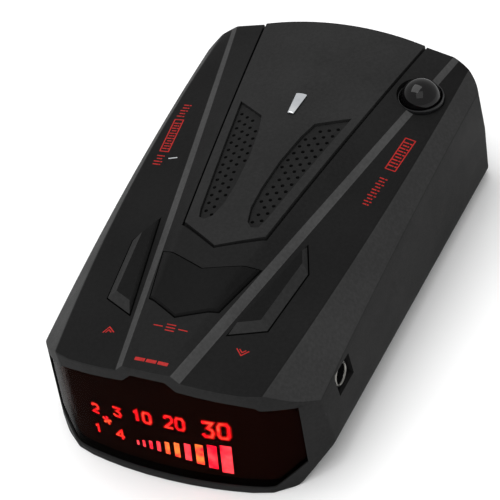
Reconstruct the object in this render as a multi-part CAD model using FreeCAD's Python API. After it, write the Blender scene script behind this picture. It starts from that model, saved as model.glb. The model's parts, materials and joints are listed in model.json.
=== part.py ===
import FreeCAD, Part
import math
import os

from FreeCAD import Vector

# A dashboard radar detector: a wedge-shaped two-part case with an inset top panel, three keys,
# a wrap-round display window, a side power socket, and the electronics inside it.
# Frame: +Z up, display towards -Y, origin at the bottom centre of the whole object, millimetres.

# ---- driving dimensions -------------------------------------------------------------------
SPAN = 50.0             # the edge lines below are written over this half length
CROWN_TOP = 34.5        # highest point of the case's crown
CROWN_PEAK_Y = 45.0     # where along the case the crown is highest
CROWN_RADIUS = 1065.0   # crown radius seen from the side
CROWN_CROSS = 105.0     # crown radius seen from the end
SHOULDER_SHARE = 0.73   # panel edge as a share of the ridge's distance from the centre

# Each line along the case is (x, slope, bow) and (z, slope, bow) against y / SPAN.
RIDGE_INNER = ((16.06, 10.36, 0.27), (30.60, 0.85, 0.28))
RIDGE_OUTER = ((17.91, 10.13, 0.02), (29.66, 1.27, -0.01))
DECK_EDGE = ((29.17, 3.61, -1.91), (29.04, 1.79, -1.21))
WALL_TOP = ((33.18, 1.13, -0.25), (24.31, 4.32, -2.14))
WALL_FOOT = ((33.60, 0.40, 0.00), (5.20, -1.75, 0.00))
BASE_EDGE = ((29.60, 2.20, 0.00), (0.00, 0.00, 0.00))
STATIONS = (-62.0, -50.0, -38.0, -25.0, -10.0, 5.0, 20.0, 35.0, 50.0, 62.0)
SKIRT = 1.0             # how far the block runs on below the base before it is cut flat

WALL = 2.0              # case wall
ROOF = 2.4              # case roof, thick enough to hold the inset panel
PART_Z = 14.6           # height of the joint between the two case halves
BACK_Y = 55.96          # centre of the back wall at the joint
BACK_RAKE = 0.09        # how far the back wall leans in per millimetre of height

FRONT_Y = -54.4         # centre of the front face at the joint
FRONT_RAKE = 0.107      # how far the front face leans back per millimetre of height
BEND = (22.8, -51.7)    # where the front turns into its chamfer, at the joint
WINDOW_END = (28.7, -46.7)
PILLAR_END = (33.2, -40.8)
WINDOW_OUTLINE = ((0.0, 28.0), (3.9, 27.9), (6.1, 25.9), (21.9, 23.5), (22.8, 22.4),
                  (28.9, 20.3), (29.1, 5.3), (23.4, 1.3), (0.0, 1.5))
WINDOW_RECESS = 0.5
WINDOW_THICK = 1.5

PANEL_PLAN = ((0.0, -18.3), (9.47, -13.2), (20.4, 56.5))
PANEL_PROUD = 0.3
PANEL_SEAT = 1.2
PANEL_GAP = 0.35

PAD_PLAN = ((13.5, 24.9), (6.4, 20.8), (5.0, 16.0), (3.6, 8.0), (3.0, -0.6), (3.1, -6.4),
            (4.1, -10.4), (5.5, -11.7), (7.0, -11.3), (7.7, -9.0))
PAD_DROP = 0.5
PAD_THICK = 0.8
HOLE_R = 0.42
HOLE_PITCH = 2.35
HOLE_MARGIN = 0.75

MENU_PLAN = ((0.0, -25.0), (11.3, -21.0), (7.9, -34.2), (0.0, -38.2))
SIDE_KEY_PLAN = ((17.5, -11.0), (20.6, -17.9), (18.5, -34.3), (11.4, -37.8))
KEY_GAP = 0.3
KEY_RISE = 1.3
MENU_RISE = 0.5
KEY_FLANGE = 0.8
KEY_FLANGE_THICK = 0.8
KEY_STEM_R = 1.6
KEY_TRAVEL = 0.5
SWITCH_PLACES = ((-15.4, -27.0), (0.0, -30.5), (15.4, -27.0))
SWITCH_SIZE = 6.0
SWITCH_TALL = 3.5
PLUNGER_R = 1.65
PLUNGER_OUT = 1.1

DOME_AT = (24.4, 37.8)
DOME_Z = 30.4
DOME_R = 4.3
DOME_WALL = 0.8
BEZEL_R = 5.25
BEZEL_LIP_Z = 31.5
BEZEL_FOOT_Z = 26.6
DOME_SEAT_Z = 28.0

JACK_Y = -31.9
JACK_Z = 16.6
JACK_RECESS = (6.9, 5.7)
JACK_FACE_X = 31.7
JACK_BODY = (11.0, 9.0, 6.2)
JACK_EAR = (6.0, 1.2, 0.9)
SOCKET_R = 2.15
SOCKET_LENGTH = 3.3
CAVITY_R = 2.4
CAVITY_END = 9.0
JACK_PIN_R = 0.65

BOARD_Z = 13.0
BOARD_THICK = 1.6
BOARD_PLAN = ((-21.5, -43.5), (21.5, -43.5), (21.5, -38.3), (29.6, -38.3), (29.6, 40.0),
              (23.4, 40.0), (23.4, 49.0), (-23.4, 49.0), (-23.4, 40.0), (-29.6, 40.0),
              (-29.6, -38.3), (-21.5, -38.3))
BOARD_POSTS = ((-26.0, -14.0), (26.0, -14.0), (-26.0, 32.0), (26.0, 32.0))
CASE_SCREWS = ((-25.5, -42.0), (25.5, -42.0), (-28.4, 45.4), (28.4, 45.4))
POST_R = 2.8
BOARD_TOP = BOARD_Z + BOARD_THICK

SPEAKER_AT = (0.0, 2.0)
SPEAKER_R = 13.0
HORN_HALF = (13.5, 5.8)     # outer half width and height of the horn's mouth
HORN_THROAT = (5.5, 3.0)
HORN_Y = (20.0, 50.0)
HORN_Z = 21.2

# Display marks: centre x and z, width and height, on the window's face.
MARKS = ((-15.5, 14.7, 2.4, 3.2), (-9.8, 15.8, 2.6, 3.4), (-13.0, 12.3, 2.2, 2.2),
         (-16.1, 8.8, 2.6, 2.9), (-10.2, 9.6, 2.6, 3.2), (-3.6, 16.8, 5.2, 3.8),
         (3.6, 17.1, 4.4, 4.0), (13.1, 16.9, 6.4, 4.8))
BAR_CENTRES = (-5.76, -4.41, -2.97, -0.73, 1.21, 3.28, 5.81, 8.25, 11.23, 14.43)
BAR_LOW = (8.3, 8.2, 8.3, 8.1, 8.1, 7.9, 7.6, 7.2, 6.6, 5.8)
BAR_HIGH = (9.2, 9.6, 10.1, 10.5, 10.8, 11.2, 11.4, 11.8, 11.9, 12.1)
BAR_WIDE = (0.5, 0.55, 0.6, 0.75, 0.8, 0.95, 1.1, 1.2, 1.6, 1.8)
DISPLAY_BOARD_Y = -46.4


# ---- small tools ----------------------------------------------------------------------------
def save(shape, node):
    """Write one sub-part."""
    shape.exportStep("parts/" + node + ".step")


def line_at(edge, y):
    """Point of one lengthwise line at y."""
    t = y / SPAN
    x = edge[0][0] + edge[0][1] * t + edge[0][2] * t * t
    z = edge[1][0] + edge[1][1] * t + edge[1][2] * t * t
    return x, z


def crown_z(x, y):
    """Height of the crown above a plan point."""
    along = CROWN_TOP - (y - CROWN_PEAK_Y) ** 2 / (2.0 * CROWN_RADIUS)
    return along - x * x / (2.0 * CROWN_CROSS)


def box(x0, x1, y0, y1, z0, z1):
    """Axis-aligned block between two corners."""
    return Part.makeBox(x1 - x0, y1 - y0, z1 - z0, Vector(x0, y0, z0))


def rod(x, y, z0, z1, r):
    """Upright cylinder."""
    return Part.makeCylinder(r, z1 - z0, Vector(x, y, z0))


def bar(start, direction, length, r):
    """Cylinder from a point along a direction."""
    return Part.makeCylinder(r, length, Vector(*start), Vector(*direction))


def face_of(points):
    """Flat face with straight sides through 3-D points."""
    ring = [Vector(*p) for p in points]
    return Part.Face(Part.makePolygon(ring + [ring[0]]))


def prism(plan, z0, z1):
    """Upright prism over a plan outline."""
    return face_of([(x, y, z0) for x, y in plan]).extrude(Vector(0, 0, z1 - z0))


def grown(plan, distance):
    """Plan outline moved outwards by a distance, corners kept sharp."""
    wire = Part.makePolygon([Vector(x, y, 0) for x, y in plan + plan[:1]])
    wide = Part.Face(wire).makeOffset2D(distance, 2)
    return [(v.X, v.Y) for v in wide.OuterWire.OrderedVertexes]


def both_sides(half):
    """Full symmetric outline from the half that starts and ends on the centre line."""
    left = [(-x, y) for x, y in reversed(half) if x > 0.0]
    return list(half) + left


def mirrored(shape):
    """The same shape on the other side of the centre plane."""
    return shape.mirror(Vector(0, 0, 0), Vector(1, 0, 0))


def union(shapes):
    """All shapes fused into one, coplanar faces merged."""
    return shapes[0].multiFuse(shapes[1:]).removeSplitter()


# ---- the outer shape ------------------------------------------------------------------------
def section(y, side, roof, floor):
    """Closed outline across the case at y, drawn in by the side, roof and floor thicknesses."""
    ri, ro = line_at(RIDGE_INNER, y), line_at(RIDGE_OUTER, y)
    deck, wall = line_at(DECK_EDGE, y), line_at(WALL_TOP, y)
    foot, base = line_at(WALL_FOOT, y), line_at(BASE_EDGE, y)
    xp = SHOULDER_SHARE * ri[0]
    low = (foot[0] - side, foot[1] + 0.3 * floor)
    rim = (base[0] - 0.4 * side, base[1] + floor)
    lean = (low[0] - rim[0]) / (low[1] - rim[1])
    half = [(xp - 0.2 * side, crown_z(xp, y) - roof),
            (ri[0] - 0.4 * side, ri[1] - roof),
            (ro[0] - 0.4 * side, ro[1] - roof),
            (deck[0] - 0.6 * side, deck[1] - roof),
            (wall[0] - side, wall[1] - 0.5 * roof),
            low,
            (rim[0] - lean * SKIRT, rim[1] - SKIRT)]
    right = [Vector(x, y, z) for x, z in half]
    left = [Vector(-p.x, y, p.z) for p in right]
    top = Part.Arc(left[0], Vector(0, y, crown_z(0, y) - roof), right[0]).toShape()
    edges = [top]
    path = right + list(reversed(left))
    for a, b in zip(path, path[1:]):
        edges.append(Part.LineSegment(a, b).toShape())
    return Part.Wire(edges)


def envelope(side=0.0, roof=0.0, floor=0.0):
    """The long body before its ends are trimmed."""
    wires = [section(y, side, roof, floor) for y in STATIONS]
    return Part.makeLoft(wires, True, False)


def front_tool(inset):
    """Everything behind the front face, moved back by the inset, at any height."""
    dy = inset
    z = PART_Z
    a = Vector(-BEND[0], BEND[1] + dy, z)
    b = Vector(0, FRONT_Y + dy, z)
    c = Vector(BEND[0], BEND[1] + dy, z)
    slip = inset * 0.45
    path = [c,
            Vector(WINDOW_END[0] - slip, WINDOW_END[1] + dy * 0.9, z),
            Vector(PILLAR_END[0] - slip, PILLAR_END[1] + dy * 0.9, z),
            Vector(48.0, -22.0, z), Vector(48.0, 80.0, z),
            Vector(-48.0, 80.0, z), Vector(-48.0, -22.0, z),
            Vector(-PILLAR_END[0] + slip, PILLAR_END[1] + dy * 0.9, z),
            Vector(-WINDOW_END[0] + slip, WINDOW_END[1] + dy * 0.9, z), a]
    edges = [Part.Arc(a, b, c).toShape()]
    for p, q in zip(path, path[1:]):
        edges.append(Part.LineSegment(p, q).toShape())
    face = Part.Face(Part.Wire(edges))
    up = face.extrude(Vector(0, FRONT_RAKE * 40.0, 40.0))
    down = face.extrude(Vector(0, -FRONT_RAKE * 30.0, -30.0))
    return up.fuse(down).removeSplitter()


def back_tool(inset, upper):
    """Everything ahead of the back wall, moved forward by the inset, on one side of the joint."""
    z = PART_Z
    y0 = BACK_Y - inset
    a, b = Vector(-27.0, y0 - 2.6, z), Vector(27.0, y0 - 2.6, z)
    c, d = Vector(32.4 - inset, y0 - 5.2, z), Vector(34.5 - inset, y0 - 10.8, z)
    rear = Part.Arc(a, Vector(0, y0, z), b).toShape()
    corner = Part.Arc(b, c, d).toShape()
    side = [d, Vector(48.0, 20.0, z), Vector(48.0, -90.0, z), Vector(-48.0, -90.0, z),
            Vector(-48.0, 20.0, z), Vector(-d.x, d.y, z)]
    edges = [rear, corner]
    for p, q in zip(side, side[1:]):
        edges.append(Part.LineSegment(p, q).toShape())
    edges.append(Part.Arc(Vector(-d.x, d.y, z), Vector(-c.x, c.y, z), a).toShape())
    face = Part.Face(Part.Wire(edges))
    height = 30.0 if upper else -30.0
    return face.extrude(Vector(0, -BACK_RAKE * abs(height), height))


def half_space(upper, floor):
    """A big block above the joint between the case halves, or below it down to the floor."""
    if upper:
        return box(-60, 60, -80, 80, PART_Z, 60)
    return box(-60, 60, -80, 80, floor, PART_Z)


def case_block(upper, side=0.0, roof=0.0, floor=0.0, front=0.0, back=0.0):
    """One case half as a solid block, drawn in by the given thicknesses."""
    block = envelope(side, roof, floor).common(front_tool(front))
    return block.common(back_tool(back, upper)).common(half_space(upper, floor))


def window_prism():
    """The window's outline pushed along the case, for cutting and for the window itself."""
    outline = both_sides(list(WINDOW_OUTLINE))
    return face_of([(x, -70.0, z) for x, z in outline]).extrude(Vector(0, 30.0, 0))


def crown_slab(top, bottom):
    """A slab that follows the crown between two height offsets."""
    wires = []
    for y in STATIONS:
        w = 30.0
        edge = crown_z(w, y)
        arc = Part.Arc(Vector(-w, y, edge + top), Vector(0, y, crown_z(0, y) + top),
                       Vector(w, y, edge + top)).toShape()
        low = Part.Arc(Vector(-w, y, edge + bottom), Vector(0, y, crown_z(0, y) + bottom),
                       Vector(w, y, edge + bottom)).toShape()
        side_a = Part.LineSegment(Vector(w, y, edge + top), Vector(w, y, edge + bottom)).toShape()
        side_b = Part.LineSegment(Vector(-w, y, edge + bottom), Vector(-w, y, edge + top)).toShape()
        wires.append(Part.Wire([arc, side_a, low, side_b]))
    return Part.makeLoft(wires, True, False)


# ---- case -----------------------------------------------------------------------------------
def key_shapes():
    """Plan outline and rise of each key, left to right."""
    right = list(SIDE_KEY_PLAN)
    left = [(-x, y) for x, y in reversed(right)]
    menu = both_sides(list(MENU_PLAN))
    return ((left, KEY_RISE), (menu, MENU_RISE), (right, KEY_RISE))


def top_case():
    """Upper shell with the panel's seat, key openings, sensor hole and screw bosses."""
    shell = case_block(True).cut(case_block(True, WALL, ROOF, WALL, WALL + 0.4, WALL))
    bosses = []
    for x, y in CASE_SCREWS:
        bosses.append(rod(x, y, PART_Z, 40.0, POST_R))
    shell = union([shell] + [b.common(case_block(True)) for b in bosses])
    seat = prism(grown(both_sides(list(PANEL_PLAN)), PANEL_GAP), 20, 40)
    cuts = [seat.common(crown_slab(8.0, -PANEL_SEAT))]
    for plan, rise in key_shapes():
        cuts.append(prism(grown(plan, KEY_GAP), 20, 40))
    cuts.append(rod(DOME_AT[0], DOME_AT[1], 24, 40, BEZEL_R))
    cuts.append(window_prism())
    cuts.append(jack_recess())
    for x, y in CASE_SCREWS:
        cuts.append(rod(x, y, PART_Z - 1, 22.0, 1.1))
    for tool in cuts:
        shell = shell.cut(tool)
    return shell


def jack_recess():
    """Square pocket in the side wall around the power socket, and the socket body's seat."""
    wide, tall = JACK_RECESS
    mouth = box(JACK_FACE_X, 40, JACK_Y - wide / 2, JACK_Y + wide / 2,
                JACK_Z - tall / 2, JACK_Z + tall / 2)
    return mouth.fuse(jack_block())


def bottom_case():
    """Lower shell with board posts, screw columns, speaker ring and sound slots."""
    shell = case_block(False).cut(case_block(False, WALL, 0.0, WALL, WALL + 0.4, WALL))
    adds = []
    for x, y in BOARD_POSTS:
        adds.append(rod(x, y, 1.0, BOARD_Z, POST_R))
    for x, y in CASE_SCREWS:
        adds.append(rod(x, y, 1.0, PART_Z, POST_R).common(case_block(False)))
    sx, sy = SPEAKER_AT
    ring = rod(sx, sy, 1.0, 4.0, SPEAKER_R + 1.3).cut(rod(sx, sy, 0.5, 4.5, SPEAKER_R + 0.1))
    adds.append(ring)
    shell = union([shell] + adds)
    cuts = [window_prism(), jack_recess()]
    for x, y in BOARD_POSTS:
        cuts.append(rod(x, y, 7.5, BOARD_Z + 1, 1.0))
    for x, y in CASE_SCREWS:
        cuts.append(rod(x, y, -1.0, PART_Z + 1, 1.2))
        cuts.append(rod(x, y, -1.0, 2.2, 2.2))
    for k in range(-3, 4):
        cuts.append(box(sx + k * 3.0 - 0.7, sx + k * 3.0 + 0.7, sy - 8.0, sy + 8.0, -1.0, 2.5))
    for tool in cuts:
        shell = shell.cut(tool)
    return shell


def top_panel():
    """Inset crown panel with the two pad openings and the badge seat."""
    block = prism(both_sides(list(PANEL_PLAN)), 20, 40)
    panel = block.common(crown_slab(PANEL_PROUD, -PANEL_SEAT)).common(back_tool(0.0, True))
    panel = panel.cut(prism(list(PAD_PLAN), 20, 40))
    panel = panel.cut(prism([(-x, y) for x, y in PAD_PLAN], 20, 40))
    return panel.cut(prism(badge_plan(), 33.8, 40))


def inside(plan, x, y, margin):
    """True when a point lies inside a convex-cornered outline by at least the margin."""
    face = Part.Face(Part.makePolygon([Vector(a, b, 0) for a, b in plan + plan[:1]]))
    point = Part.Vertex(x, y, 0)
    if not face.isInside(Vector(x, y, 0), 1e-6, True):
        return False
    return face.OuterWire.distToShape(point)[0] >= margin


def pad_holes():
    """Staggered hole centres of the right pad, in rows along its straight outer side."""
    ax, ay = PAD_PLAN[-1]
    bx, by = PAD_PLAN[0]
    length = math.hypot(bx - ax, by - ay)
    ux, uy = (bx - ax) / length, (by - ay) / length
    spots = []
    for row in range(-3, 18):
        for column in range(6):
            along = row * HOLE_PITCH + 0.5 * HOLE_PITCH * (column % 2)
            across = 1.15 + column * 0.5 * HOLE_PITCH * 1.35
            x = ax + ux * along - uy * across
            y = ay + uy * along + ux * across
            if inside(list(PAD_PLAN), x, y, HOLE_MARGIN):
                spots.append((x, y))
    return spots


def right_grille():
    """Perforated pad set just below the panel's face."""
    pad = prism(grown(list(PAD_PLAN), -0.15), 20, 40)
    pad = pad.common(crown_slab(-PAD_DROP, -PAD_DROP - PAD_THICK + 0.1))
    holes = [rod(x, y, 30, 36, HOLE_R) for x, y in pad_holes()]
    return pad.cut(Part.makeCompound(holes))


def badge_plan():
    """Tapered outline of the trim bar on the centre line."""
    return [(-0.75, 22.3), (0.75, 22.3), (1.35, 28.8), (-1.35, 28.8)]


def chrome_badge():
    """Small plated trim bar, wider at the back."""
    return prism(badge_plan(), 33.8, 35.2).common(crown_slab(0.75, -3.0))


# ---- sensor dome ----------------------------------------------------------------------------
def sensor_dome():
    """Half-ball lens with a short skirt."""
    x, y = DOME_AT
    centre = Vector(x, y, DOME_Z)
    outer = Part.makeSphere(DOME_R, centre, Vector(0, 0, 1), 0, 90, 360)
    outer = outer.fuse(rod(x, y, DOME_SEAT_Z, DOME_Z, DOME_R)).removeSplitter()
    inner = Part.makeSphere(DOME_R - DOME_WALL, centre, Vector(0, 0, 1), 0, 90, 360)
    inner = inner.fuse(rod(x, y, DOME_SEAT_Z - 1, DOME_Z, DOME_R - DOME_WALL)).removeSplitter()
    return outer.cut(inner)


def dome_bezel():
    """Ring that carries the lens in the case."""
    x, y = DOME_AT
    ring = rod(x, y, BEZEL_FOOT_Z, BEZEL_LIP_Z, BEZEL_R)
    ring = ring.cut(rod(x, y, DOME_SEAT_Z, BEZEL_LIP_Z + 1, DOME_R + 0.1))
    return ring.cut(rod(x, y, BEZEL_FOOT_Z - 1, DOME_SEAT_Z + 1, DOME_R - DOME_WALL))


def sensor_board():
    """Small round circuit board under the lens."""
    x, y = DOME_AT
    return rod(x, y, BEZEL_FOOT_Z - 1.0, BEZEL_FOOT_Z, BEZEL_R)


def photodiode():
    """Light sensor with a flange and a domed cap."""
    x, y = DOME_AT
    flange = rod(x, y, BEZEL_FOOT_Z, BEZEL_FOOT_Z + 0.8, 2.9)
    body = rod(x, y, BEZEL_FOOT_Z, BEZEL_FOOT_Z + 3.2, 2.5)
    cap = Part.makeSphere(2.5, Vector(x, y, BEZEL_FOOT_Z + 3.2), Vector(0, 0, 1), 0, 90, 360)
    return union([flange, body, cap])


# ---- keys -----------------------------------------------------------------------------------
def switch_top():
    """Height of a switch plunger's top."""
    return BOARD_TOP + SWITCH_TALL + PLUNGER_OUT


def key(plan, rise, place):
    """Key cap with a retaining flange under the roof and a stem down to its switch."""
    block = prism(plan, 15, 45)
    flange = prism(grown(plan, KEY_FLANGE), 15, 45)
    raised = envelope()
    raised.translate(Vector(0, 0, rise))
    under = envelope(WALL, ROOF, WALL)
    under.translate(Vector(0, 0, -0.05))
    low = envelope(WALL, ROOF, WALL)
    low.translate(Vector(0, 0, -0.05 - KEY_FLANGE_THICK))
    cap = block.common(raised).cut(low)
    rim = flange.common(under).cut(low)
    x, y = place
    stem = rod(x, y, switch_top(), 30.0, KEY_STEM_R).common(raised)
    return union([cap, rim, stem])


def plunger(place):
    """Switch plunger with its guide foot inside the switch body."""
    x, y = place
    return rod(x, y, BOARD_TOP + 1.4, switch_top(), PLUNGER_R)


def switch_bases():
    """The three switch bodies, each open at the top for its plunger."""
    bodies = []
    h = SWITCH_SIZE / 2
    for x, y in SWITCH_PLACES:
        body = box(x - h, x + h, y - h, y + h, BOARD_TOP, BOARD_TOP + SWITCH_TALL)
        hole = rod(x, y, BOARD_TOP + 0.7, BOARD_TOP + SWITCH_TALL + 1, PLUNGER_R + 0.08)
        bodies.append(body.cut(hole))
    return Part.makeCompound(bodies)


# ---- display --------------------------------------------------------------------------------
def front_skin(outer, inner):
    """A sheet that follows the front face between two insets."""
    return front_tool(outer).cut(front_tool(inner))


def display_window():
    """Tinted window wrapped round the front and both chamfers."""
    outline = [(x, z) for x, z in grown(both_sides(list(WINDOW_OUTLINE)), -0.1)]
    block = face_of([(x, -70.0, z) for x, z in outline]).extrude(Vector(0, 30.0, 0))
    return front_skin(WINDOW_RECESS, WINDOW_RECESS + WINDOW_THICK).common(block)


def legend_film():
    """Printed film behind the window, under the display marks."""
    near = WINDOW_RECESS + WINDOW_THICK
    return front_skin(near, near + 0.2).common(box(-19.5, 19.5, -70, -40, 4.5, 22.5))


def display_reflector():
    """Light box with one well behind each display mark."""
    near = WINDOW_RECESS + WINDOW_THICK + 0.2
    block = box(-19.5, 19.5, -70, DISPLAY_BOARD_Y, 4.5, 22.5).common(front_tool(near))
    for x, z, w, h in MARKS:
        block = block.cut(box(x - w / 2, x + w / 2, -70, -40, z - h / 2, z + h / 2))
    for x, low, high, w in zip(BAR_CENTRES, BAR_LOW, BAR_HIGH, BAR_WIDE):
        block = block.cut(box(x - w / 2, x + w / 2, -70, -40, low, high))
    return block


def display_board():
    """Upright circuit board behind the light box."""
    return box(-20.0, 20.0, DISPLAY_BOARD_Y, DISPLAY_BOARD_Y + 1.2, 4.0, 23.0)


def display_leds():
    """One small lamp in each large well."""
    lamps = []
    for x, z, w, h in MARKS:
        lamps.append(box(x - 0.8, x + 0.8, DISPLAY_BOARD_Y - 0.7, DISPLAY_BOARD_Y,
                         z - 0.4, z + 0.4))
    for x, low, high in zip(BAR_CENTRES, BAR_LOW, BAR_HIGH):
        z = (low + high) / 2
        lamps.append(box(x - 0.2, x + 0.2, DISPLAY_BOARD_Y - 0.7, DISPLAY_BOARD_Y,
                         z - 0.4, z + 0.4))
    return Part.makeCompound(lamps)


def display_header():
    """Plastic strip that carries the display's pins."""
    y = DISPLAY_BOARD_Y + 1.2
    return box(-10.2, 10.2, y, y + 2.5, BOARD_TOP, BOARD_TOP + 2.5).cut(header_pins())


def header_pins():
    """Right-angle pins from the display board to the main board."""
    pins = []
    y = DISPLAY_BOARD_Y + 1.2
    z = BOARD_TOP + 1.25
    for k in range(8):
        x = (k - 3.5) * 2.54
        flat = box(x - 0.3, x + 0.3, y, y + 4.0, z - 0.3, z + 0.3)
        down = box(x - 0.3, x + 0.3, y + 3.4, y + 4.0, BOARD_TOP, z - 0.3)
        pins.append(flat.fuse(down).removeSplitter())
    return Part.makeCompound(pins)


# ---- power socket ---------------------------------------------------------------------------
def jack_block():
    """Outer block of the socket, which sits in a notch of the board."""
    long, wide, tall = JACK_BODY
    return box(JACK_FACE_X - long, JACK_FACE_X, JACK_Y - wide / 2, JACK_Y + wide / 2,
               JACK_Z - tall / 2, JACK_Z + tall / 2)


def jack_ears():
    """Lugs that rest on the board on both sides of its notch and carry the socket."""
    long, out, thick = JACK_EAR
    back, half = JACK_FACE_X - JACK_BODY[0], JACK_BODY[1] / 2 + out
    return box(back, back + long, JACK_Y - half, JACK_Y + half, BOARD_TOP, BOARD_TOP + thick)


def jack_housing():
    """Socket body with a round mouth and a wider cavity behind it."""
    mouth = bar((JACK_FACE_X + 1, JACK_Y, JACK_Z), (-1, 0, 0), 1 + SOCKET_LENGTH, SOCKET_R)
    cavity = bar((JACK_FACE_X - SOCKET_LENGTH, JACK_Y, JACK_Z), (-1, 0, 0),
                 CAVITY_END - SOCKET_LENGTH, CAVITY_R)
    slot = box(JACK_FACE_X - 8.0, JACK_FACE_X - 4.5, JACK_Y + 1.2, JACK_Y + 5,
               JACK_Z - 1.0, JACK_Z + 1.0)
    return jack_block().fuse(jack_ears()).removeSplitter().cut(mouth).cut(cavity).cut(slot)


def jack_pin():
    """Centre contact of the socket."""
    length = CAVITY_END - SOCKET_LENGTH - 0.4
    start = (JACK_FACE_X - SOCKET_LENGTH - 0.4, JACK_Y, JACK_Z)
    return bar(start, (-1, 0, 0), length, JACK_PIN_R)


def jack_spring():
    """Side contact of the socket, a flat leaf in its slot."""
    return box(JACK_FACE_X - 8.0, JACK_FACE_X - 4.5, JACK_Y + 2.9, JACK_Y + 3.3,
               JACK_Z - 1.0, JACK_Z + 1.0)


# ---- electronics ----------------------------------------------------------------------------
def main_board():
    """Main circuit board with its screw holes and the notch for the socket."""
    long, wide, _ = JACK_BODY
    notch = box(JACK_FACE_X - long, 40, JACK_Y - wide / 2, JACK_Y + wide / 2,
                BOARD_Z - 1, BOARD_TOP + 1)
    board = prism(list(BOARD_PLAN), BOARD_Z, BOARD_TOP).cut(notch)
    for x, y in BOARD_POSTS:
        board = board.cut(rod(x, y, BOARD_Z - 1, BOARD_TOP + 1, 1.15))
    return board


def screw(x, y, seat_z, up, shank, head_r, head_h, shank_r):
    """Cross-head screw; up tells which way the shank points from its seat."""
    sign = 1.0 if up else -1.0
    head = bar((x, y, seat_z), (0, 0, -sign), head_h, head_r)
    stem = bar((x, y, seat_z), (0, 0, sign), shank, shank_r)
    low = seat_z - sign * head_h
    z0, z1 = sorted((low - sign * 0.1, low + sign * 0.7))
    cross = box(x - 1.1, x + 1.1, y - 0.25, y + 0.25, z0, z1)
    cross = cross.fuse(box(x - 0.25, x + 0.25, y - 1.1, y + 1.1, z0, z1))
    return head.fuse(stem).removeSplitter().cut(cross)


def case_screws():
    """Four long screws that close the case from below."""
    return Part.makeCompound([screw(x, y, 2.2, True, 19.3, 2.0, 1.4, 1.1)
                              for x, y in CASE_SCREWS])


def board_screws():
    """Four short screws that hold the board to its posts."""
    return Part.makeCompound([screw(x, y, BOARD_TOP, False, 6.5, 1.9, 1.3, 1.0)
                              for x, y in BOARD_POSTS])


def horn_antenna():
    """Die-cast horn, open to the back, on a flat foot."""
    def frame_at(y, half_w, half_h):
        pts = [(-half_w, y, HORN_Z - half_h), (half_w, y, HORN_Z - half_h),
               (half_w, y, HORN_Z + half_h), (-half_w, y, HORN_Z + half_h)]
        ring = [Vector(*p) for p in pts]
        return Part.makePolygon(ring + [ring[0]])
    y0, y1 = HORN_Y
    outer = Part.makeLoft([frame_at(y0, *HORN_THROAT), frame_at(y1, *HORN_HALF)], True, True)
    inner = Part.makeLoft([frame_at(y0, HORN_THROAT[0] - 1.0, HORN_THROAT[1] - 1.0),
                           frame_at(y1, HORN_HALF[0] - 1.0, HORN_HALF[1] - 1.0)], True, True)
    guide = box(-HORN_THROAT[0], HORN_THROAT[0], y0 - 8.0, y0,
                HORN_Z - HORN_THROAT[1], HORN_Z + HORN_THROAT[1])
    foot = box(-5.0, 5.0, y0 - 8.0, y1, BOARD_TOP, BOARD_TOP + 1.0)
    rib = box(-1.0, 1.0, y0 - 8.0, y1, BOARD_TOP, HORN_Z)
    body = union([outer, guide, foot, rib])
    return body.cut(inner).common(box(-40, 40, 0, y1, 0, 60))


def antenna_shield():
    """Pressed metal can over the mixer."""
    can = box(-12.0, 12.0, -3.0, 11.5, BOARD_TOP, 20.5)
    return can.cut(box(-11.6, 11.6, -2.6, 11.1, BOARD_TOP - 1, 20.1))


def mixer_board():
    """Thin microwave circuit inside the can."""
    return box(-10.5, 10.5, -1.8, 10.3, BOARD_TOP, BOARD_TOP + 0.8)


def speaker_frame():
    """Pressed basket that stands on the case floor."""
    x, y = SPEAKER_AT
    cup = rod(x, y, 2.0, 7.0, SPEAKER_R).cut(rod(x, y, 1.0, 6.2, SPEAKER_R - 0.8))
    return cup.cut(rod(x, y, 5.0, 8.0, 4.0))


def speaker_cone():
    """Thin cone glued inside the basket's rim."""
    x, y = SPEAKER_AT
    at = Vector(x, y, 2.4)
    outer = Part.makeCone(SPEAKER_R - 0.8, 4.0, 3.2, at)
    inner = Part.makeCone(SPEAKER_R - 1.3, 3.5, 3.0, at)
    return outer.cut(inner)


def speaker_magnet():
    """Magnet on the basket's back."""
    x, y = SPEAKER_AT
    return rod(x, y, 7.0, 10.5, 6.5)


def chip(x, y, w, d, h):
    """One flat component on the board."""
    return box(x - w / 2, x + w / 2, y - d / 2, y + d / 2, BOARD_TOP, BOARD_TOP + h)


def capacitors():
    """Three upright round capacitors."""
    places = ((21.8, -21.5), (21.2, -8.5), (22.0, -1.5))
    return Part.makeCompound([rod(x, y, BOARD_TOP, BOARD_TOP + 7.5, 3.0) for x, y in places])


def chip_resistors():
    """Two rows of small surface-mounted resistors."""
    parts = []
    for k in range(6):
        parts.append(chip(-24.0, 8.0 + 3.0 * k, 1.6, 0.8, 0.5))
        parts.append(chip(24.0, 8.0 + 3.0 * k, 1.6, 0.8, 0.5))
    return Part.makeCompound(parts)


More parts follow.
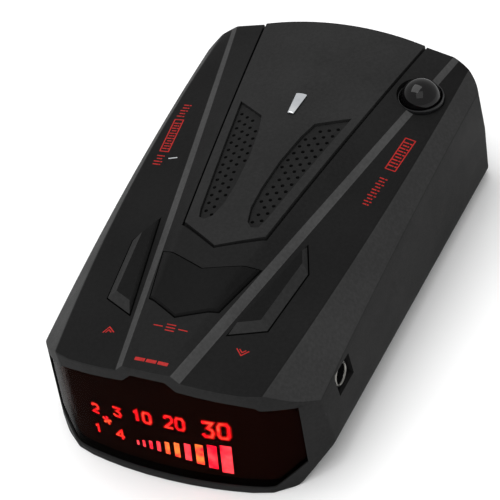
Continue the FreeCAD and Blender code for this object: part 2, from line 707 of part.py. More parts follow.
def build():
    """Make every sub-part and write it out."""
    keys = key_shapes()
    grille = right_grille()
    parts = {
        "top_case": top_case(),
        "bottom_case": bottom_case(),
        "top_panel": top_panel(),
        "right_grille": grille,
        "left_grille": mirrored(grille),
        "chrome_badge": chrome_badge(),
        "sensor_dome": sensor_dome(),
        "dome_bezel": dome_bezel(),
        "sensor_board": sensor_board(),
        "photodiode": photodiode(),
        "up_button": key(keys[0][0], keys[0][1], SWITCH_PLACES[0]),
        "menu_button": key(keys[1][0], keys[1][1], SWITCH_PLACES[1]),
        "down_button": key(keys[2][0], keys[2][1], SWITCH_PLACES[2]),
        "up_plunger": plunger(SWITCH_PLACES[0]),
        "menu_plunger": plunger(SWITCH_PLACES[1]),
        "down_plunger": plunger(SWITCH_PLACES[2]),
        "switch_bases": switch_bases(),
        "display_window": display_window(),
        "legend_film": legend_film(),
        "display_reflector": display_reflector(),
        "display_board": display_board(),
        "display_leds": display_leds(),
        "display_header": display_header(),
        "header_pins": header_pins(),
        "jack_housing": jack_housing(),
        "jack_pin": jack_pin(),
        "jack_spring": jack_spring(),
        "main_board": main_board(),
        "case_screws": case_screws(),
        "board_screws": board_screws(),
        "horn_antenna": horn_antenna(),
        "antenna_shield": antenna_shield(),
        "mixer_board": mixer_board(),
        "speaker_frame": speaker_frame(),
        "speaker_cone": speaker_cone(),
        "speaker_magnet": speaker_magnet(),
        "microcontroller": chip(-15.0, -8.0, 10.0, 10.0, 1.6),
        "voice_chip": chip(-16.5, 6.0, 5.0, 6.0, 1.6),
        "crystal": chip(-24.5, -6.0, 4.5, 11.0, 3.5),
        "voltage_regulator": chip(14.4, -12.0, 6.5, 7.0, 2.3),
        "capacitors": capacitors(),
        "chip_resistors": chip_resistors(),
    }
    for node, shape in parts.items():
        save(shape, node)


os.makedirs("parts", exist_ok=True)
build()
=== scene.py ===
import json
import math

import bmesh
import bpy
import numpy as np
from mathutils import Matrix, Vector

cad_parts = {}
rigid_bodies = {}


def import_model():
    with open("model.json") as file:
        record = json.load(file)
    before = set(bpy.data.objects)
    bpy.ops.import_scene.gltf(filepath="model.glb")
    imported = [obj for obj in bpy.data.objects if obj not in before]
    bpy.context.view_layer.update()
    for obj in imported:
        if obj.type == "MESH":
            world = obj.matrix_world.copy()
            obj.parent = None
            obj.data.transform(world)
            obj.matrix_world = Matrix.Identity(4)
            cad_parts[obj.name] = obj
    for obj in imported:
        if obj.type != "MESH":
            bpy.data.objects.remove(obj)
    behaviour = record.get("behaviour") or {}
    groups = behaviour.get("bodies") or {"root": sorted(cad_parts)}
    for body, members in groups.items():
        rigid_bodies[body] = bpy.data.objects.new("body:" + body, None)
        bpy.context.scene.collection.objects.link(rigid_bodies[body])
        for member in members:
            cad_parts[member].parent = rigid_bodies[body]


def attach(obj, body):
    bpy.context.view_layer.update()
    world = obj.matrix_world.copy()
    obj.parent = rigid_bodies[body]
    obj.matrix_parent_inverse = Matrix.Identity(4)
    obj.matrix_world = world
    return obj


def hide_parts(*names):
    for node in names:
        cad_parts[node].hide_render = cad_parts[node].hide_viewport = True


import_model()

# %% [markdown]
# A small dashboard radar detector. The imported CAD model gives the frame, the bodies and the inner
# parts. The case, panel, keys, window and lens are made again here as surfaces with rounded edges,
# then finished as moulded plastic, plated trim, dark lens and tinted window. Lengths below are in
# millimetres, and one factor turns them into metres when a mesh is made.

MM = 0.001
bpy.context.evaluated_depsgraph_get().update()
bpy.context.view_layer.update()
SCENE = bpy.context.scene


# %% [markdown]
# The case is drawn by a few long lines that run from the display to the back: the inner and outer
# edge of the raised ridge, the edge of the side deck, the top of the side wall, the wall's foot and
# the edge of the base. Each line's x and z is a gentle parabola of y, so the whole skin follows
# from them. The front face and the back wall are functions of x and z, which lets every
# lengthwise line be cut exactly where it meets them.

# %% the long lines and the end faces
SPAN = 50.0
RIDGE_INNER = ((16.06, 10.36, 0.27), (30.60, 0.85, 0.28))
RIDGE_OUTER = ((17.91, 10.13, 0.02), (29.66, 1.27, -0.01))
DECK_EDGE = ((29.17, 3.61, -1.91), (29.04, 1.79, -1.21))
WALL_TOP = ((33.18, 1.13, -0.25), (24.31, 4.32, -2.14))
WALL_FOOT = ((33.60, 0.40, 0.00), (5.20, -1.75, 0.00))
BASE_EDGE = ((29.60, 2.20, 0.00), (0.00, 0.00, 0.00))
SHOULDER_SHARE = 0.73
CROWN_TOP, CROWN_PEAK_Y, CROWN_RADIUS, CROWN_CROSS = 34.5, 45.0, 1065.0, 105.0
PART_Z = 14.6
FRONT_Y, FRONT_RAKE = -54.4, 0.107
BEND, WINDOW_END, PILLAR_END = (22.8, -51.7), (28.7, -46.7), (33.2, -40.8)
BACK_Y, BACK_RAKE = 55.96, 0.09
BACK_SAG, CORNER_START, CORNER_AT, CORNER_R = 2.6, 27.0, (26.46, 10.62), 8.04


def line_at(edge, y):
    """x and z of one long line: a + b t + c t^2 with t = y / 50."""
    t = y / SPAN
    x = edge[0][0] + edge[0][1] * t + edge[0][2] * t * t
    z = edge[1][0] + edge[1][1] * t + edge[1][2] * t * t
    return x, z


def crown_z(x, y):
    """Crown height: a long arc along y less a shorter arc across x."""
    along = CROWN_TOP - (y - CROWN_PEAK_Y) ** 2 / (2.0 * CROWN_RADIUS)
    return along - x * x / (2.0 * CROWN_CROSS)


def soft_max(a, b, k):
    """The larger of two values, rounded over a band about k wide where they cross."""
    return 0.5 * (a + b + np.sqrt((a - b) ** 2 + k * k))


def front_y(x, z):
    """Front face: an arc across the middle, then straight chamfers, leaning back as z rises."""
    ax = np.abs(x)
    sag = BEND[1] - FRONT_Y
    radius = (BEND[0] ** 2 + sag ** 2) / (2.0 * sag)
    arc = FRONT_Y + radius - np.sqrt(radius ** 2 - np.minimum(ax, 60.0) ** 2)
    face = arc
    for (x0, y0), (x1, y1), k in ((BEND, WINDOW_END, 0.8), (WINDOW_END, PILLAR_END, 0.3)):
        face = soft_max(face, y0 + (y1 - y0) / (x1 - x0) * (ax - x0), k)
    return face + FRONT_RAKE * (z - PART_Z)


def back_y(x, z):
    """Back wall: a shallow arc, then a round corner, leaning in above and below the case joint."""
    ax = np.abs(x)
    arc = BACK_SAG * (ax / CORNER_START) ** 2
    over = np.clip(ax - CORNER_AT[0], 0.0, 0.995 * CORNER_R)
    corner = CORNER_AT[1] - np.sqrt(CORNER_R ** 2 - over ** 2)
    return BACK_Y - np.where(ax < CORNER_START, arc, corner) - BACK_RAKE * np.abs(z - PART_Z)


def roof_z(x, y):
    """Height of the case's upper skin at a plan point, by straight runs between the long lines."""
    ax = np.abs(x)
    inner, outer = line_at(RIDGE_INNER, y), line_at(RIDGE_OUTER, y)
    deck, wall = line_at(DECK_EDGE, y), line_at(WALL_TOP, y)
    xp = SHOULDER_SHARE * inner[0]
    stops = [(xp, crown_z(xp, y)), inner, outer, deck, wall]
    z = crown_z(ax, y)
    for (x0, z0), (x1, z1) in zip(stops, stops[1:]):
        share = np.clip((ax - x0) / (x1 - x0), 0.0, 1.0)
        z = np.where(ax > x0, z0 + (z1 - z0) * share, z)
    return z


# %% [markdown]
# Meshes are whole numpy arrays turned into Blender meshes in one step. A lattice is a grid of
# points joined by quads; a closed loft is a stack of lattices, joined round their borders.
# Doubled points at poles and seams are merged, and the faces are turned outwards.

# %% mesh tools
def lattice_quads(rows, cols, start=0):
    """Quads of a rows by cols lattice whose points are numbered row by row from start."""
    i = np.arange(rows - 1)[:, None] * cols + np.arange(cols - 1)[None, :] + start
    return np.stack([i, i + 1, i + cols + 1, i + cols], -1).reshape(-1, 4)


def ring_quads(turns, sides):
    """Quads of a closed ring: a closed profile of so many sides, repeated so many times round."""
    i, j = np.meshgrid(np.arange(turns), np.arange(sides), indexing="ij")
    here, there = i * sides, (i + 1) % turns * sides
    up = (j + 1) % sides
    return np.stack([here + j, here + up, there + up, there + j], -1).reshape(-1, 4)


def rim_of(rows, cols):
    """Border points of a lattice in order, once round."""
    index = np.arange(rows * cols).reshape(rows, cols)
    return np.concatenate([index[0], index[1:, -1], index[-1, -2::-1], index[-2:0:-1, 0]])


def new_object(name, points, faces, zones=None, weld=0.002, fill=False):
    """Object from points in mm and faces, welded, closed if asked, with faces turned outwards."""
    mesh = bpy.data.meshes.new(name)
    mesh.from_pydata((np.asarray(points, float) * MM).tolist(), [], [list(f) for f in faces])
    if zones is not None:
        mesh.polygons.foreach_set("material_index", np.asarray(zones, np.int32))
    bm = bmesh.new()
    bm.from_mesh(mesh)
    bmesh.ops.remove_doubles(bm, verts=bm.verts, dist=weld * MM)
    bmesh.ops.dissolve_degenerate(bm, edges=bm.edges, dist=0.2 * weld * MM)
    if fill:
        bmesh.ops.holes_fill(bm, edges=[e for e in bm.edges if e.is_boundary], sides=0)
    bmesh.ops.recalc_face_normals(bm, faces=bm.faces)
    bm.to_mesh(mesh)
    bm.free()
    obj = bpy.data.objects.new(name, mesh)
    SCENE.collection.objects.link(obj)
    return obj


def closed_lofts(name, stacks, **how):
    """Closed solids, each from a stack of lattices: first and last whole, borders between."""
    points, faces, start = [], [], 0
    for stack in stacks:
        rows, cols = stack[0].shape[:2]
        rim = rim_of(rows, cols)
        first = stack[0].reshape(-1, 3)
        last = stack[-1].reshape(-1, 3)
        rings = [level.reshape(-1, 3)[rim] for level in stack[1:-1]]
        points += [first] + rings + [last]
        faces.append(lattice_quads(rows, cols, start))
        loops = [rim + start]
        at = start + len(first)
        for ring in rings:
            loops.append(np.arange(len(ring)) + at)
            at += len(ring)
        faces.append(lattice_quads(rows, cols, at)[:, ::-1])
        loops.append(rim + at)
        for a, b in zip(loops, loops[1:]):
            faces.append(np.stack([a, b, np.roll(b, -1), np.roll(a, -1)], -1))
        start = at + len(last)
    return new_object(name, np.concatenate(points), np.concatenate(faces), **how)


def on_crown(x, y, h):
    """Points at height h above the crown."""
    return np.stack([x, y, crown_z(x, y) + h], -1)


def on_roof(x, y, h):
    """Points at height h above the case's upper skin."""
    return np.stack([x, y, roof_z(x, y) + h], -1)


def on_face(x, z, depth):
    """Points at a depth behind the front face."""
    return np.stack([x, front_y(x, z) + depth, z], -1)


def baked(obj):
    """The object with its modifiers applied to the mesh."""
    bpy.context.view_layer.update()
    graph = bpy.context.evaluated_depsgraph_get()
    mesh = bpy.data.meshes.new_from_object(obj.evaluated_get(graph))
    obj.modifiers.clear()
    old = obj.data
    obj.data = mesh
    bpy.data.meshes.remove(old)
    return obj


def boolean(obj, cutters, operation="DIFFERENCE"):
    """Cuts or joins other solids, which are then removed."""
    for tool in cutters:
        m = obj.modifiers.new("cut", "BOOLEAN")
        m.operation = operation
        m.solver = "EXACT"
        m.object = tool
        baked(obj)
        data = tool.data
        bpy.data.objects.remove(tool)
        bpy.data.meshes.remove(data)
    return obj


def smooth(obj, angle=50.0):
    """Smooth shading weighted by face size, with only the sharpest edges left hard."""
    mesh = obj.data
    mesh.polygons.foreach_set("use_smooth", np.ones(len(mesh.polygons), bool))
    mesh.set_sharp_from_angle(angle=math.radians(angle))
    m = obj.modifiers.new("weighted", "WEIGHTED_NORMAL")
    m.keep_sharp = True
    return obj


def soften(obj, width, angle=40.0, segments=2):
    """Rounds the edges sharper than an angle, then shades the faces by their size."""
    m = obj.modifiers.new("round", "BEVEL")
    m.width = width * MM
    m.segments = segments
    m.limit_method = "ANGLE"
    m.angle_limit = math.radians(angle)
    m.use_clamp_overlap = True
    return smooth(baked(obj))


def prism(name, outline, z0, z1):
    """Upright solid over a plan outline given in order."""
    n = len(outline)
    ring = np.array(outline, float)
    low = np.column_stack([ring, np.full(n, z0)])
    top = np.column_stack([ring, np.full(n, z1)])
    sides = [(i, (i + 1) % n, (i + 1) % n + n, i + n) for i in range(n)]
    caps = [tuple(range(n))[::-1], tuple(range(n, 2 * n))]
    return new_object(name, np.concatenate([low, top]), sides + caps)


def circle(x, y, r, count=40):
    """Circle in plan as an outline."""
    a = np.linspace(0.0, 2.0 * math.pi, count, endpoint=False)
    return list(zip(x + r * np.cos(a), y + r * np.sin(a)))


def grown(outline, distance):
    """Outline moved outwards, by one distance or one for each side; corners stay sharp."""
    ring = np.array(outline, float)
    nxt = np.roll(ring, -1, 0)
    area = np.sum(ring[:, 0] * nxt[:, 1] - nxt[:, 0] * ring[:, 1])
    d = (nxt - ring) / np.linalg.norm(nxt - ring, axis=1)[:, None]
    normal = np.stack([d[:, 1], -d[:, 0]], -1) * np.sign(area)
    move = np.broadcast_to(np.asarray(distance, float), (len(ring),))
    offset = np.sum(normal * ring, 1) + move
    corners = []
    for i in range(len(ring)):
        pair = np.array([normal[i - 1], normal[i]])
        corners.append(np.linalg.solve(pair, [offset[i - 1], offset[i]]))
    return [tuple(c) for c in corners]


# %% [markdown]
# Each skin's cross profile is a chain of points between the long lines. At every line the chain
# turns through a short fillet, so the edges of the ridge, deck, wall and base catch a thin line of
# light as a moulded edge does.

# %% the cross profile
FILLETS = {"shoulder": 1.2, "inner": 0.35, "outer": 0.35, "deck": 0.45, "wall": 0.5,
           "foot": 0.7, "base": 0.6}


def corner(before, at, after, reach):
    """Three points that round a corner: quadratic curve from reach before to reach after."""
    def toward(p):
        dx, dz = p[0] - at[0], p[1] - at[1]
        length = np.hypot(dx, dz)
        share = np.minimum(reach / length, 0.45)
        return at[0] + dx * share, at[1] + dz * share
    a, c = toward(before), toward(after)
    b = (0.25 * a[0] + 0.5 * at[0] + 0.25 * c[0], 0.25 * a[1] + 0.5 * at[1] + 0.25 * c[1])
    return [a, b, c]


def between(p, q, shares):
    """Points part of the way from p to q."""
    return [(p[0] + (q[0] - p[0]) * s, p[1] + (q[1] - p[1]) * s) for s in shares]


def upper_half(y):
    """Right half of the upper profile, crown to joint: points, marks, where the wall starts."""
    inner, outer = line_at(RIDGE_INNER, y), line_at(RIDGE_OUTER, y)
    deck, wall = line_at(DECK_EDGE, y), line_at(WALL_TOP, y)
    foot = line_at(WALL_FOOT, y)
    xp = SHOULDER_SHARE * inner[0]
    shoulder = (xp, crown_z(xp, y))
    joint_share = (wall[1] - PART_Z) / (wall[1] - foot[1])
    joint = (wall[0] + (foot[0] - wall[0]) * joint_share, PART_Z + 0.0 * y)
    chain, marks = [], []
    for s in (0.0, 0.2, 0.4, 0.6, 0.8):
        chain.append((xp * s, crown_z(xp * s, y)))
        marks.append(s)
    near = (xp * 0.9, crown_z(xp * 0.9, y))
    for k, (a, b, c, key) in enumerate(((near, shoulder, inner, "shoulder"),
                                        (shoulder, inner, outer, "inner"),
                                        (inner, outer, deck, "outer"),
                                        (outer, deck, wall, "deck"),
                                        (deck, wall, joint, "wall"))):
        chain += corner(a, b, c, FILLETS[key])
        marks += [k + 0.94, k + 1.0, k + 1.06]
        if key == "outer":
            chain += between(b, c, (0.25, 0.5, 0.75))
            marks += [k + 1.25, k + 1.5, k + 1.75]
        if key == "deck":
            chain += between(b, c, (0.25, 0.5, 0.7, 0.85))
            marks += [k + 1.25, k + 1.5, k + 1.7, k + 1.85]
    wall_from = len(chain)
    chain += between(wall, joint, (0.35, 0.7, 1.0))
    marks += [5.35, 5.7, 6.0]
    return chain, marks, wall_from


def lower_half(y):
    """Right half of the lower profile, case joint to the middle of the base."""
    wall, foot, base = line_at(WALL_TOP, y), line_at(WALL_FOOT, y), line_at(BASE_EDGE, y)
    joint_share = (wall[1] - PART_Z) / (wall[1] - foot[1])
    joint = (wall[0] + (foot[0] - wall[0]) * joint_share, PART_Z + 0.0 * y)
    middle = (0.0 * y, 0.0 * y)
    chain = between(joint, foot, (0.0, 0.35, 0.7))
    marks = [0.0, 0.35, 0.7]
    wall_to = len(chain)
    chain += corner(joint, foot, base, FILLETS["foot"])
    marks += [0.94, 1.0, 1.06]
    chain += between(foot, base, (0.35, 0.65))
    marks += [1.35, 1.65]
    chain += corner(foot, base, middle, FILLETS["base"])
    marks += [1.94, 2.0, 2.06]
    chain += between(base, middle, (0.15, 0.3, 0.45, 0.6, 0.8, 1.0))
    marks += [2.15, 2.3, 2.45, 2.6, 2.8, 3.0]
    return chain, marks, wall_to


# %% [markdown]
# A shell half is the profile carried from the front face to the back wall. Both ends are trimmed
# by solving y = face(x, z) along each lengthwise line. In front, the skin turns round a small
# edge, crosses the lip and goes in again at the window's edge. At the back it turns down into the
# back wall, a lattice between the roof's outline and the case joint. A plainer block drawn in by
# the wall thickness hollows it.

# %% shell builder
# Window outline as (profile mark, x, z), from the crown down to the joint, and on to the base.
WINDOW_TOP = ((0.0, 0.0, 28.0), (1.0, 2.8, 27.95), (2.0, 3.9, 27.9), (3.0, 6.1, 25.9),
              (3.9, 21.9, 23.5), (4.03, 22.8, 22.4), (5.0, 28.9, 20.3), (6.0, 28.98, PART_Z))
WINDOW_LOW = ((0.0, 28.98, PART_Z), (1.0, 29.1, 5.3), (2.0, 23.4, 1.3), (3.0, 0.0, 1.5))
EDGE_ROUND = 0.4
LIP_DEPTH = 2.7
BODY_FROM, BODY_TO, BODY_STEPS = -38.0, 45.7, 22
# Zones are numbered as their materials are given: crown, ridge, deck, strip, side, lip. Each zone gets
# its own tone of the one plastic, painted light and shade on its facets.
SIDE, LIP = 4, 5


def columns_at(half, y):
    """Points of the half profile, each column taken at its own y."""
    chain = half(y)[0]
    pick = [(p[0][i], y[i], p[1][i]) for i, p in enumerate(chain)]
    return np.array(pick)


def trimmed(half, face, guess):
    """y at which each column meets an end face, by repeated substitution."""
    y = np.full(len(half(np.zeros(1))[0]), guess)
    for _ in range(40):
        p = columns_at(half, y)
        y = 0.4 * y + 0.6 * face(p[:, 0], p[:, 2])
    return y


def rounded(a, corner_point, b):
    """Two points of the curve that rounds a corner between a and b."""
    return [(1 - t) ** 2 * a + 2 * t * (1 - t) * corner_point + t * t * b for t in (1 / 3, 2 / 3)]


def to_joint(points, z_joint, face, close=0.0):
    """Rows that carry an end's outline to the joint plane along the end face, closing in by a share."""
    rows = []
    for s in (0.34, 0.67, 1.0):
        line = points.copy()
        line[:, 0] *= 1.0 - close * s
        line[:, 2] += (z_joint - line[:, 2]) * s
        line[:, 1] = face(line[:, 0], line[:, 2])
        rows.append(line)
    return rows


def half_block(name, half, window, upper):
    """One case half as a closed block with its front lip and window recess."""
    _, marks, wall_mark = half(np.zeros(1))
    marks = np.array(marks)
    y_front = trimmed(half, front_y, -48.0)
    y_back = trimmed(half, back_y, 50.0)
    keys = [p[0] for p in window]
    ring = np.stack([np.interp(marks, keys, [p[i] for p in window]) for i in (1, 2)], -1)
    edge = columns_at(half, y_front)
    lip = on_face(ring[:, 0], ring[:, 1], 0.0)
    start = columns_at(half, y_front + EDGE_ROUND)
    step = lip - edge
    step /= np.linalg.norm(step, axis=1)[:, None]
    after = edge + step * EDGE_ROUND
    after = on_face(after[:, 0], after[:, 2], 0.0)
    rim = lip - step * 0.25
    rim = on_face(rim[:, 0], rim[:, 2], 0.0)
    deep = lip + np.array([0.0, 0.25, 0.0])
    bottom = on_face(ring[:, 0], ring[:, 1], LIP_DEPTH)
    rows = to_joint(bottom, PART_Z, lambda x, z: front_y(x, z) + LIP_DEPTH, 0.06)[::-1]
    rows += [bottom, deep] + rounded(deep, lip, rim) + [rim, 0.5 * (rim + after), after]
    rows += rounded(after, edge, start) + [start]
    lip_rows = len(rows) - 1
    for s in (0.25, 0.5, 0.75):
        rows.append(columns_at(half, y_front + EDGE_ROUND
                               + (BODY_FROM - y_front - EDGE_ROUND) * s))
    for y in np.linspace(BODY_FROM, BODY_TO, BODY_STEPS):
        rows.append(columns_at(half, np.full(len(marks), y)))
    stop = columns_at(half, y_back - EDGE_ROUND)
    end = columns_at(half, y_back)
    rows += [0.5 * (rows[-1] + stop), stop]
    order = np.arange(len(marks))
    wall = order >= wall_mark if upper else order < wall_mark
    turned = end + np.array([0.0, 0.0, -EDGE_ROUND if upper else EDGE_ROUND])
    turned[:, 1] = back_y(turned[:, 0], turned[:, 2])
    turned[wall] = end[wall]
    for k, line in enumerate(rounded(stop, end, turned)):
        line[wall] = (stop + (end - stop) * (k + 1) / 3)[wall]
        rows.append(line)
    rows.append(turned)
    grid = np.array(rows)
    outline, sides = order[~wall], order[wall]
    if not upper:
        outline, sides = outline[::-1], sides[::-1]
    border = turned[outline[-1]]
    patch = [turned[outline]]
    for s in sides:
        share = (border[2] - end[s][2]) / (border[2] - PART_Z)
        line = turned[outline].copy()
        line[:, 0] *= end[s][0] / border[0]
        line[:, 2] += (PART_Z - line[:, 2]) * share
        line[:, 1] = back_y(line[:, 0], line[:, 2])
        line[-1] = end[s]
        patch.append(line)
    points, faces, zones, start_at = [], [], [], 0
    mid = 0.5 * (marks[:-1] + marks[1:])
    for mirror in (1.0, -1.0):
        for block in (grid, np.array(patch)):
            r, c = block.shape[:2]
            points.append(block.reshape(-1, 3) * np.array([mirror, 1.0, 1.0]))
            faces.append(lattice_quads(r, c, start_at))
            zone = np.full((r - 1, c - 1), SIDE)
            if block is grid:
                # Zones of the upper half take lighter and darker tones of one plastic: painted light
                # and shade.
                if upper:
                    zone[:] = np.digitize(mid, (2.0, 3.0, 4.0, 5.0))
                zone[:lip_rows - 1] = LIP
            zones.append(zone.reshape(-1))
            start_at += r * c
    return new_object(name, np.concatenate(points), np.concatenate(faces),
                      np.concatenate(zones), fill=True)


def hollow_block(name, upper, side, roof, floor, front, back, past=1.0):
    """Plain block inside a case half, drawn in by the wall thicknesses, past the joint plane."""
    z_joint = PART_Z - past if upper else PART_Z + past

    def half(y):
        inner, outer = line_at(RIDGE_INNER, y), line_at(RIDGE_OUTER, y)
        deck, wall = line_at(DECK_EDGE, y), line_at(WALL_TOP, y)
        foot, base = line_at(WALL_FOOT, y), line_at(BASE_EDGE, y)
        xp = SHOULDER_SHARE * inner[0]
        if upper:
            chain = [(xp * s, crown_z(xp * s, y) - roof) for s in (0.0, 0.35, 0.7)]
            chain += [(xp, crown_z(xp, y) - roof), (inner[0] - 0.4 * side, inner[1] - roof),
                      (outer[0] - 0.4 * side, outer[1] - roof),
                      (deck[0] - 0.6 * side, deck[1] - roof),
                      (wall[0] - side - 0.3, wall[1] - 0.5 * roof),
                      (foot[0] - side, z_joint + 0.0 * y)]
        else:
            chain = [(foot[0] - side, z_joint + 0.0 * y),
                     (foot[0] - side - 0.3, foot[1] + 0.3 * floor),
                     (base[0] - 0.4 * side, floor + 0.0 * y), (base[0] * 0.5, floor + 0.0 * y),
                     (0.0 * y, floor + 0.0 * y)]
        return chain, list(range(len(chain))), 0

    def near(x, z):
        return front_y(x, z) + front

    def far(x, z):
        return back_y(x * 1.06, z) - back

    first = columns_at(half, trimmed(half, near, -46.0))
    last = columns_at(half, trimmed(half, far, 48.0))
    rows = to_joint(first, z_joint, near)[::-1] + [first]
    rows += [columns_at(half, first[:, 1] + (last - first)[:, 1] * s)
             for s in np.linspace(0.0, 1.0, 12)[1:-1]]
    rows += [last] + to_joint(last, z_joint, far)
    grid = np.array(rows)
    r, c = grid.shape[:2]
    points = [grid.reshape(-1, 3) * np.array([m, 1.0, 1.0]) for m in (1.0, -1.0)]
    faces = [lattice_quads(r, c, 0), lattice_quads(r, c, r * c)]
    return new_object(name, np.concatenate(points), np.concatenate(faces), fill=True)


# %% [markdown]
# The two moulded case halves. Each is one injection moulding in ABS with a fine spark-eroded
# texture, made here as a hollowed block that is then cut for the panel seat, the keys, the lens,
# the power socket, the sound slots and the screws, so that every opening has a real wall behind
# its rounded edge. Posts and screw columns stand inside the lower half as they do in the moulding.

# %% case halves
WALL, ROOF, BACK_WALL, FRONT_WALL = 2.0, 2.4, 2.0, 2.4
PANEL_FRONT, PANEL_SIDE, PANEL_BACK = (0.0, -18.3), (9.47, -13.2), (20.4, 56.5)
PANEL_GAP, PANEL_SEAT, PANEL_PROUD = 0.6, 1.2, 0.15
SIDE_KEY = ((17.5, -11.0), (20.6, -17.9), (18.5, -34.3), (11.4, -37.8))
MENU_KEY = ((-11.3, -21.0), (0.0, -25.0), (11.3, -21.0),
            (7.9, -34.2), (0.0, -38.2), (-7.9, -34.2))
KEY_GAP = 0.3
DOME_AT, DOME_HOLE_R = (24.4, 37.8), 5.25
JACK_Y, JACK_Z, JACK_WIDE, JACK_TALL, JACK_FACE_X = -31.9, 16.6, 6.9, 5.7, 31.7
JACK_BODY = (11.0, 9.0, 6.2)
BOARD_Z = 13.0
BOARD_POSTS = ((-26.0, -14.0), (26.0, -14.0), (-26.0, 32.0), (26.0, 32.0))
CASE_SCREWS = ((-25.5, -42.0), (25.5, -42.0), (-28.4, 45.4), (28.4, 45.4))
POST_R, SCREW_HEAD_R, SCREW_HEAD_DEEP = 2.8, 2.2, 2.2
SPEAKER_AT = (0.0, 2.0)
SLOT_PITCH, SLOT_HALF_WIDE, SLOT_HALF_LONG, SLOTS_EACH_SIDE = 3.0, 0.7, 8.0, 3
SCREW_BORE_R = 1.2
# Heights that a tool through the roof spans, the height of the seat's tool over the crown, and the
# y that tool runs to, past the back wall.
ROOF_CUT, SEAT_ABOVE, SEAT_BACK_Y = (20.0, 40.0), 8.0, 62.0


def box_solid(name, x0, x1, y0, y1, z0, z1):
    """Block between two corners, as a cutting tool."""
    return prism(name, [(x0, y0), (x1, y0), (x1, y1), (x0, y1)], z0, z1)


def panel_lattice(gap, back, rows=60, cols=25):
    """Plan points of the crown panel: a wedge with a pointed front end, widened by a gap."""
    slope = (PANEL_BACK[0] - PANEL_SIDE[0]) / (PANEL_BACK[1] - PANEL_SIDE[1])
    u = np.linspace(-1.0, 1.0, cols)[None, :]
    v = np.linspace(0.0, 1.0, rows)[:, None]
    rise = (PANEL_SIDE[1] - PANEL_FRONT[1]) * np.abs(u)
    y0 = PANEL_FRONT[1] - gap * 1.14 + rise
    y = y0 + v * (back(u) - y0)
    half = PANEL_SIDE[0] + gap * 1.02 + slope * (y - PANEL_SIDE[1] - (rise - rise.max()))
    return u * half, y


def jack_tools():
    """Pocket in the side wall round the power socket, and the seat of the socket's body."""
    long_x, wide_y, tall_z = JACK_BODY
    mouth = box_solid("t", JACK_FACE_X, 40.0, JACK_Y - JACK_WIDE / 2, JACK_Y + JACK_WIDE / 2,
                      JACK_Z - JACK_TALL / 2, JACK_Z + JACK_TALL / 2)
    body = box_solid("t", JACK_FACE_X - long_x, JACK_FACE_X + 0.01, JACK_Y - wide_y / 2,
                     JACK_Y + wide_y / 2, JACK_Z - tall_z / 2 - 0.01, JACK_Z + tall_z / 2 + 0.01)
    return [mouth, body]


upper_shell = half_block("upper_shell", upper_half, WINDOW_TOP, True)
seat_x, seat_y = panel_lattice(PANEL_GAP, lambda u: SEAT_BACK_Y + 0.0 * u)
seat_tool = closed_lofts("t", [[on_crown(seat_x, seat_y, SEAT_ABOVE),
                                on_crown(seat_x, seat_y, -PANEL_SEAT)]])
key_tools = [prism("t", grown(outline, KEY_GAP), *ROOF_CUT)
             for outline in (SIDE_KEY, [(-x, y) for x, y in SIDE_KEY], MENU_KEY)]
boolean(upper_shell, [hollow_block("t", True, WALL, ROOF, 0.0, FRONT_WALL, BACK_WALL), seat_tool]
        + key_tools + [prism("t", circle(*DOME_AT, DOME_HOLE_R), *ROOF_CUT)] + jack_tools())
soften(upper_shell, 0.22)
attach(upper_shell, "housing")
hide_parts("top_case")
print("upper shell faces:", len(upper_shell.data.polygons))


# %% [markdown]
# The lower half takes screw columns and board posts, then the sound slots under the speaker and a
# well and a bore for each case screw.

# %% lower half
lower_shell = half_block("lower_shell", lower_half, WINDOW_LOW, False)
boolean(lower_shell, [hollow_block("t", False, WALL, ROOF, WALL, FRONT_WALL, BACK_WALL)])
boolean(lower_shell, [prism("t", circle(x, y, POST_R), 1.0, BOARD_Z - 0.01) for x, y in BOARD_POSTS]
        + [prism("t", circle(x, y, POST_R), 1.0, PART_Z - 0.3) for x, y in CASE_SCREWS], "UNION")
sx, sy = SPEAKER_AT
slots = [box_solid("t", sx + SLOT_PITCH * k - SLOT_HALF_WIDE, sx + SLOT_PITCH * k + SLOT_HALF_WIDE,
                   sy - SLOT_HALF_LONG, sy + SLOT_HALF_LONG, -1.0, 3.0)
         for k in range(-SLOTS_EACH_SIDE, SLOTS_EACH_SIDE + 1)]
wells = [prism("t", circle(x, y, SCREW_HEAD_R), -1.0, SCREW_HEAD_DEEP) for x, y in CASE_SCREWS]
bores = [prism("t", circle(x, y, SCREW_BORE_R), 1.0, PART_Z + 1.0) for x, y in CASE_SCREWS]
boolean(lower_shell, jack_tools() + slots + wells + bores)
soften(lower_shell, 0.22)
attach(lower_shell, "housing")
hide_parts("bottom_case")
print("lower shell faces:", len(lower_shell.data.polygons))


# %% [markdown]
# The crown panel is a separate wedge-shaped cover, moulded in the same plastic with a slightly
# different grain. It sits in the roof with a fine gap all round and two long pockets, which the
# perforated pads fill.

# %% crown panel
PAD = ((13.5, 24.9), (6.4, 20.8), (5.0, 16.0), (3.6, 8.0), (3.0, -0.6), (3.1, -6.4),
       (4.1, -10.4), (5.5, -11.7), (7.0, -11.3), (7.7, -9.0))


def panel_back(u):
    """Where the panel's face meets the case's back wall."""
    x = PANEL_BACK[0] * u
    return back_y(x, crown_z(x, 54.0)) + 0.02


panel_x, panel_y = panel_lattice(0.0, panel_back)
crown_panel = closed_lofts("crown_panel", [[on_crown(panel_x, panel_y, PANEL_PROUD),
                                            on_crown(panel_x, panel_y, -PANEL_SEAT)]])
pads = [prism("t", [(side * x, y) for x, y in PAD], *ROOF_CUT) for side in (1.0, -1.0)]
boolean(crown_panel, pads)
soften(crown_panel, 0.28, segments=3)
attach(crown_panel, "housing")
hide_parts("top_panel")


# %% [markdown]
# Each key is a moulded cap that stands a little above the skin. It has a long bevel on its outer
# and front sides, a thin flange that keeps it under the roof, and a stem down to its switch.

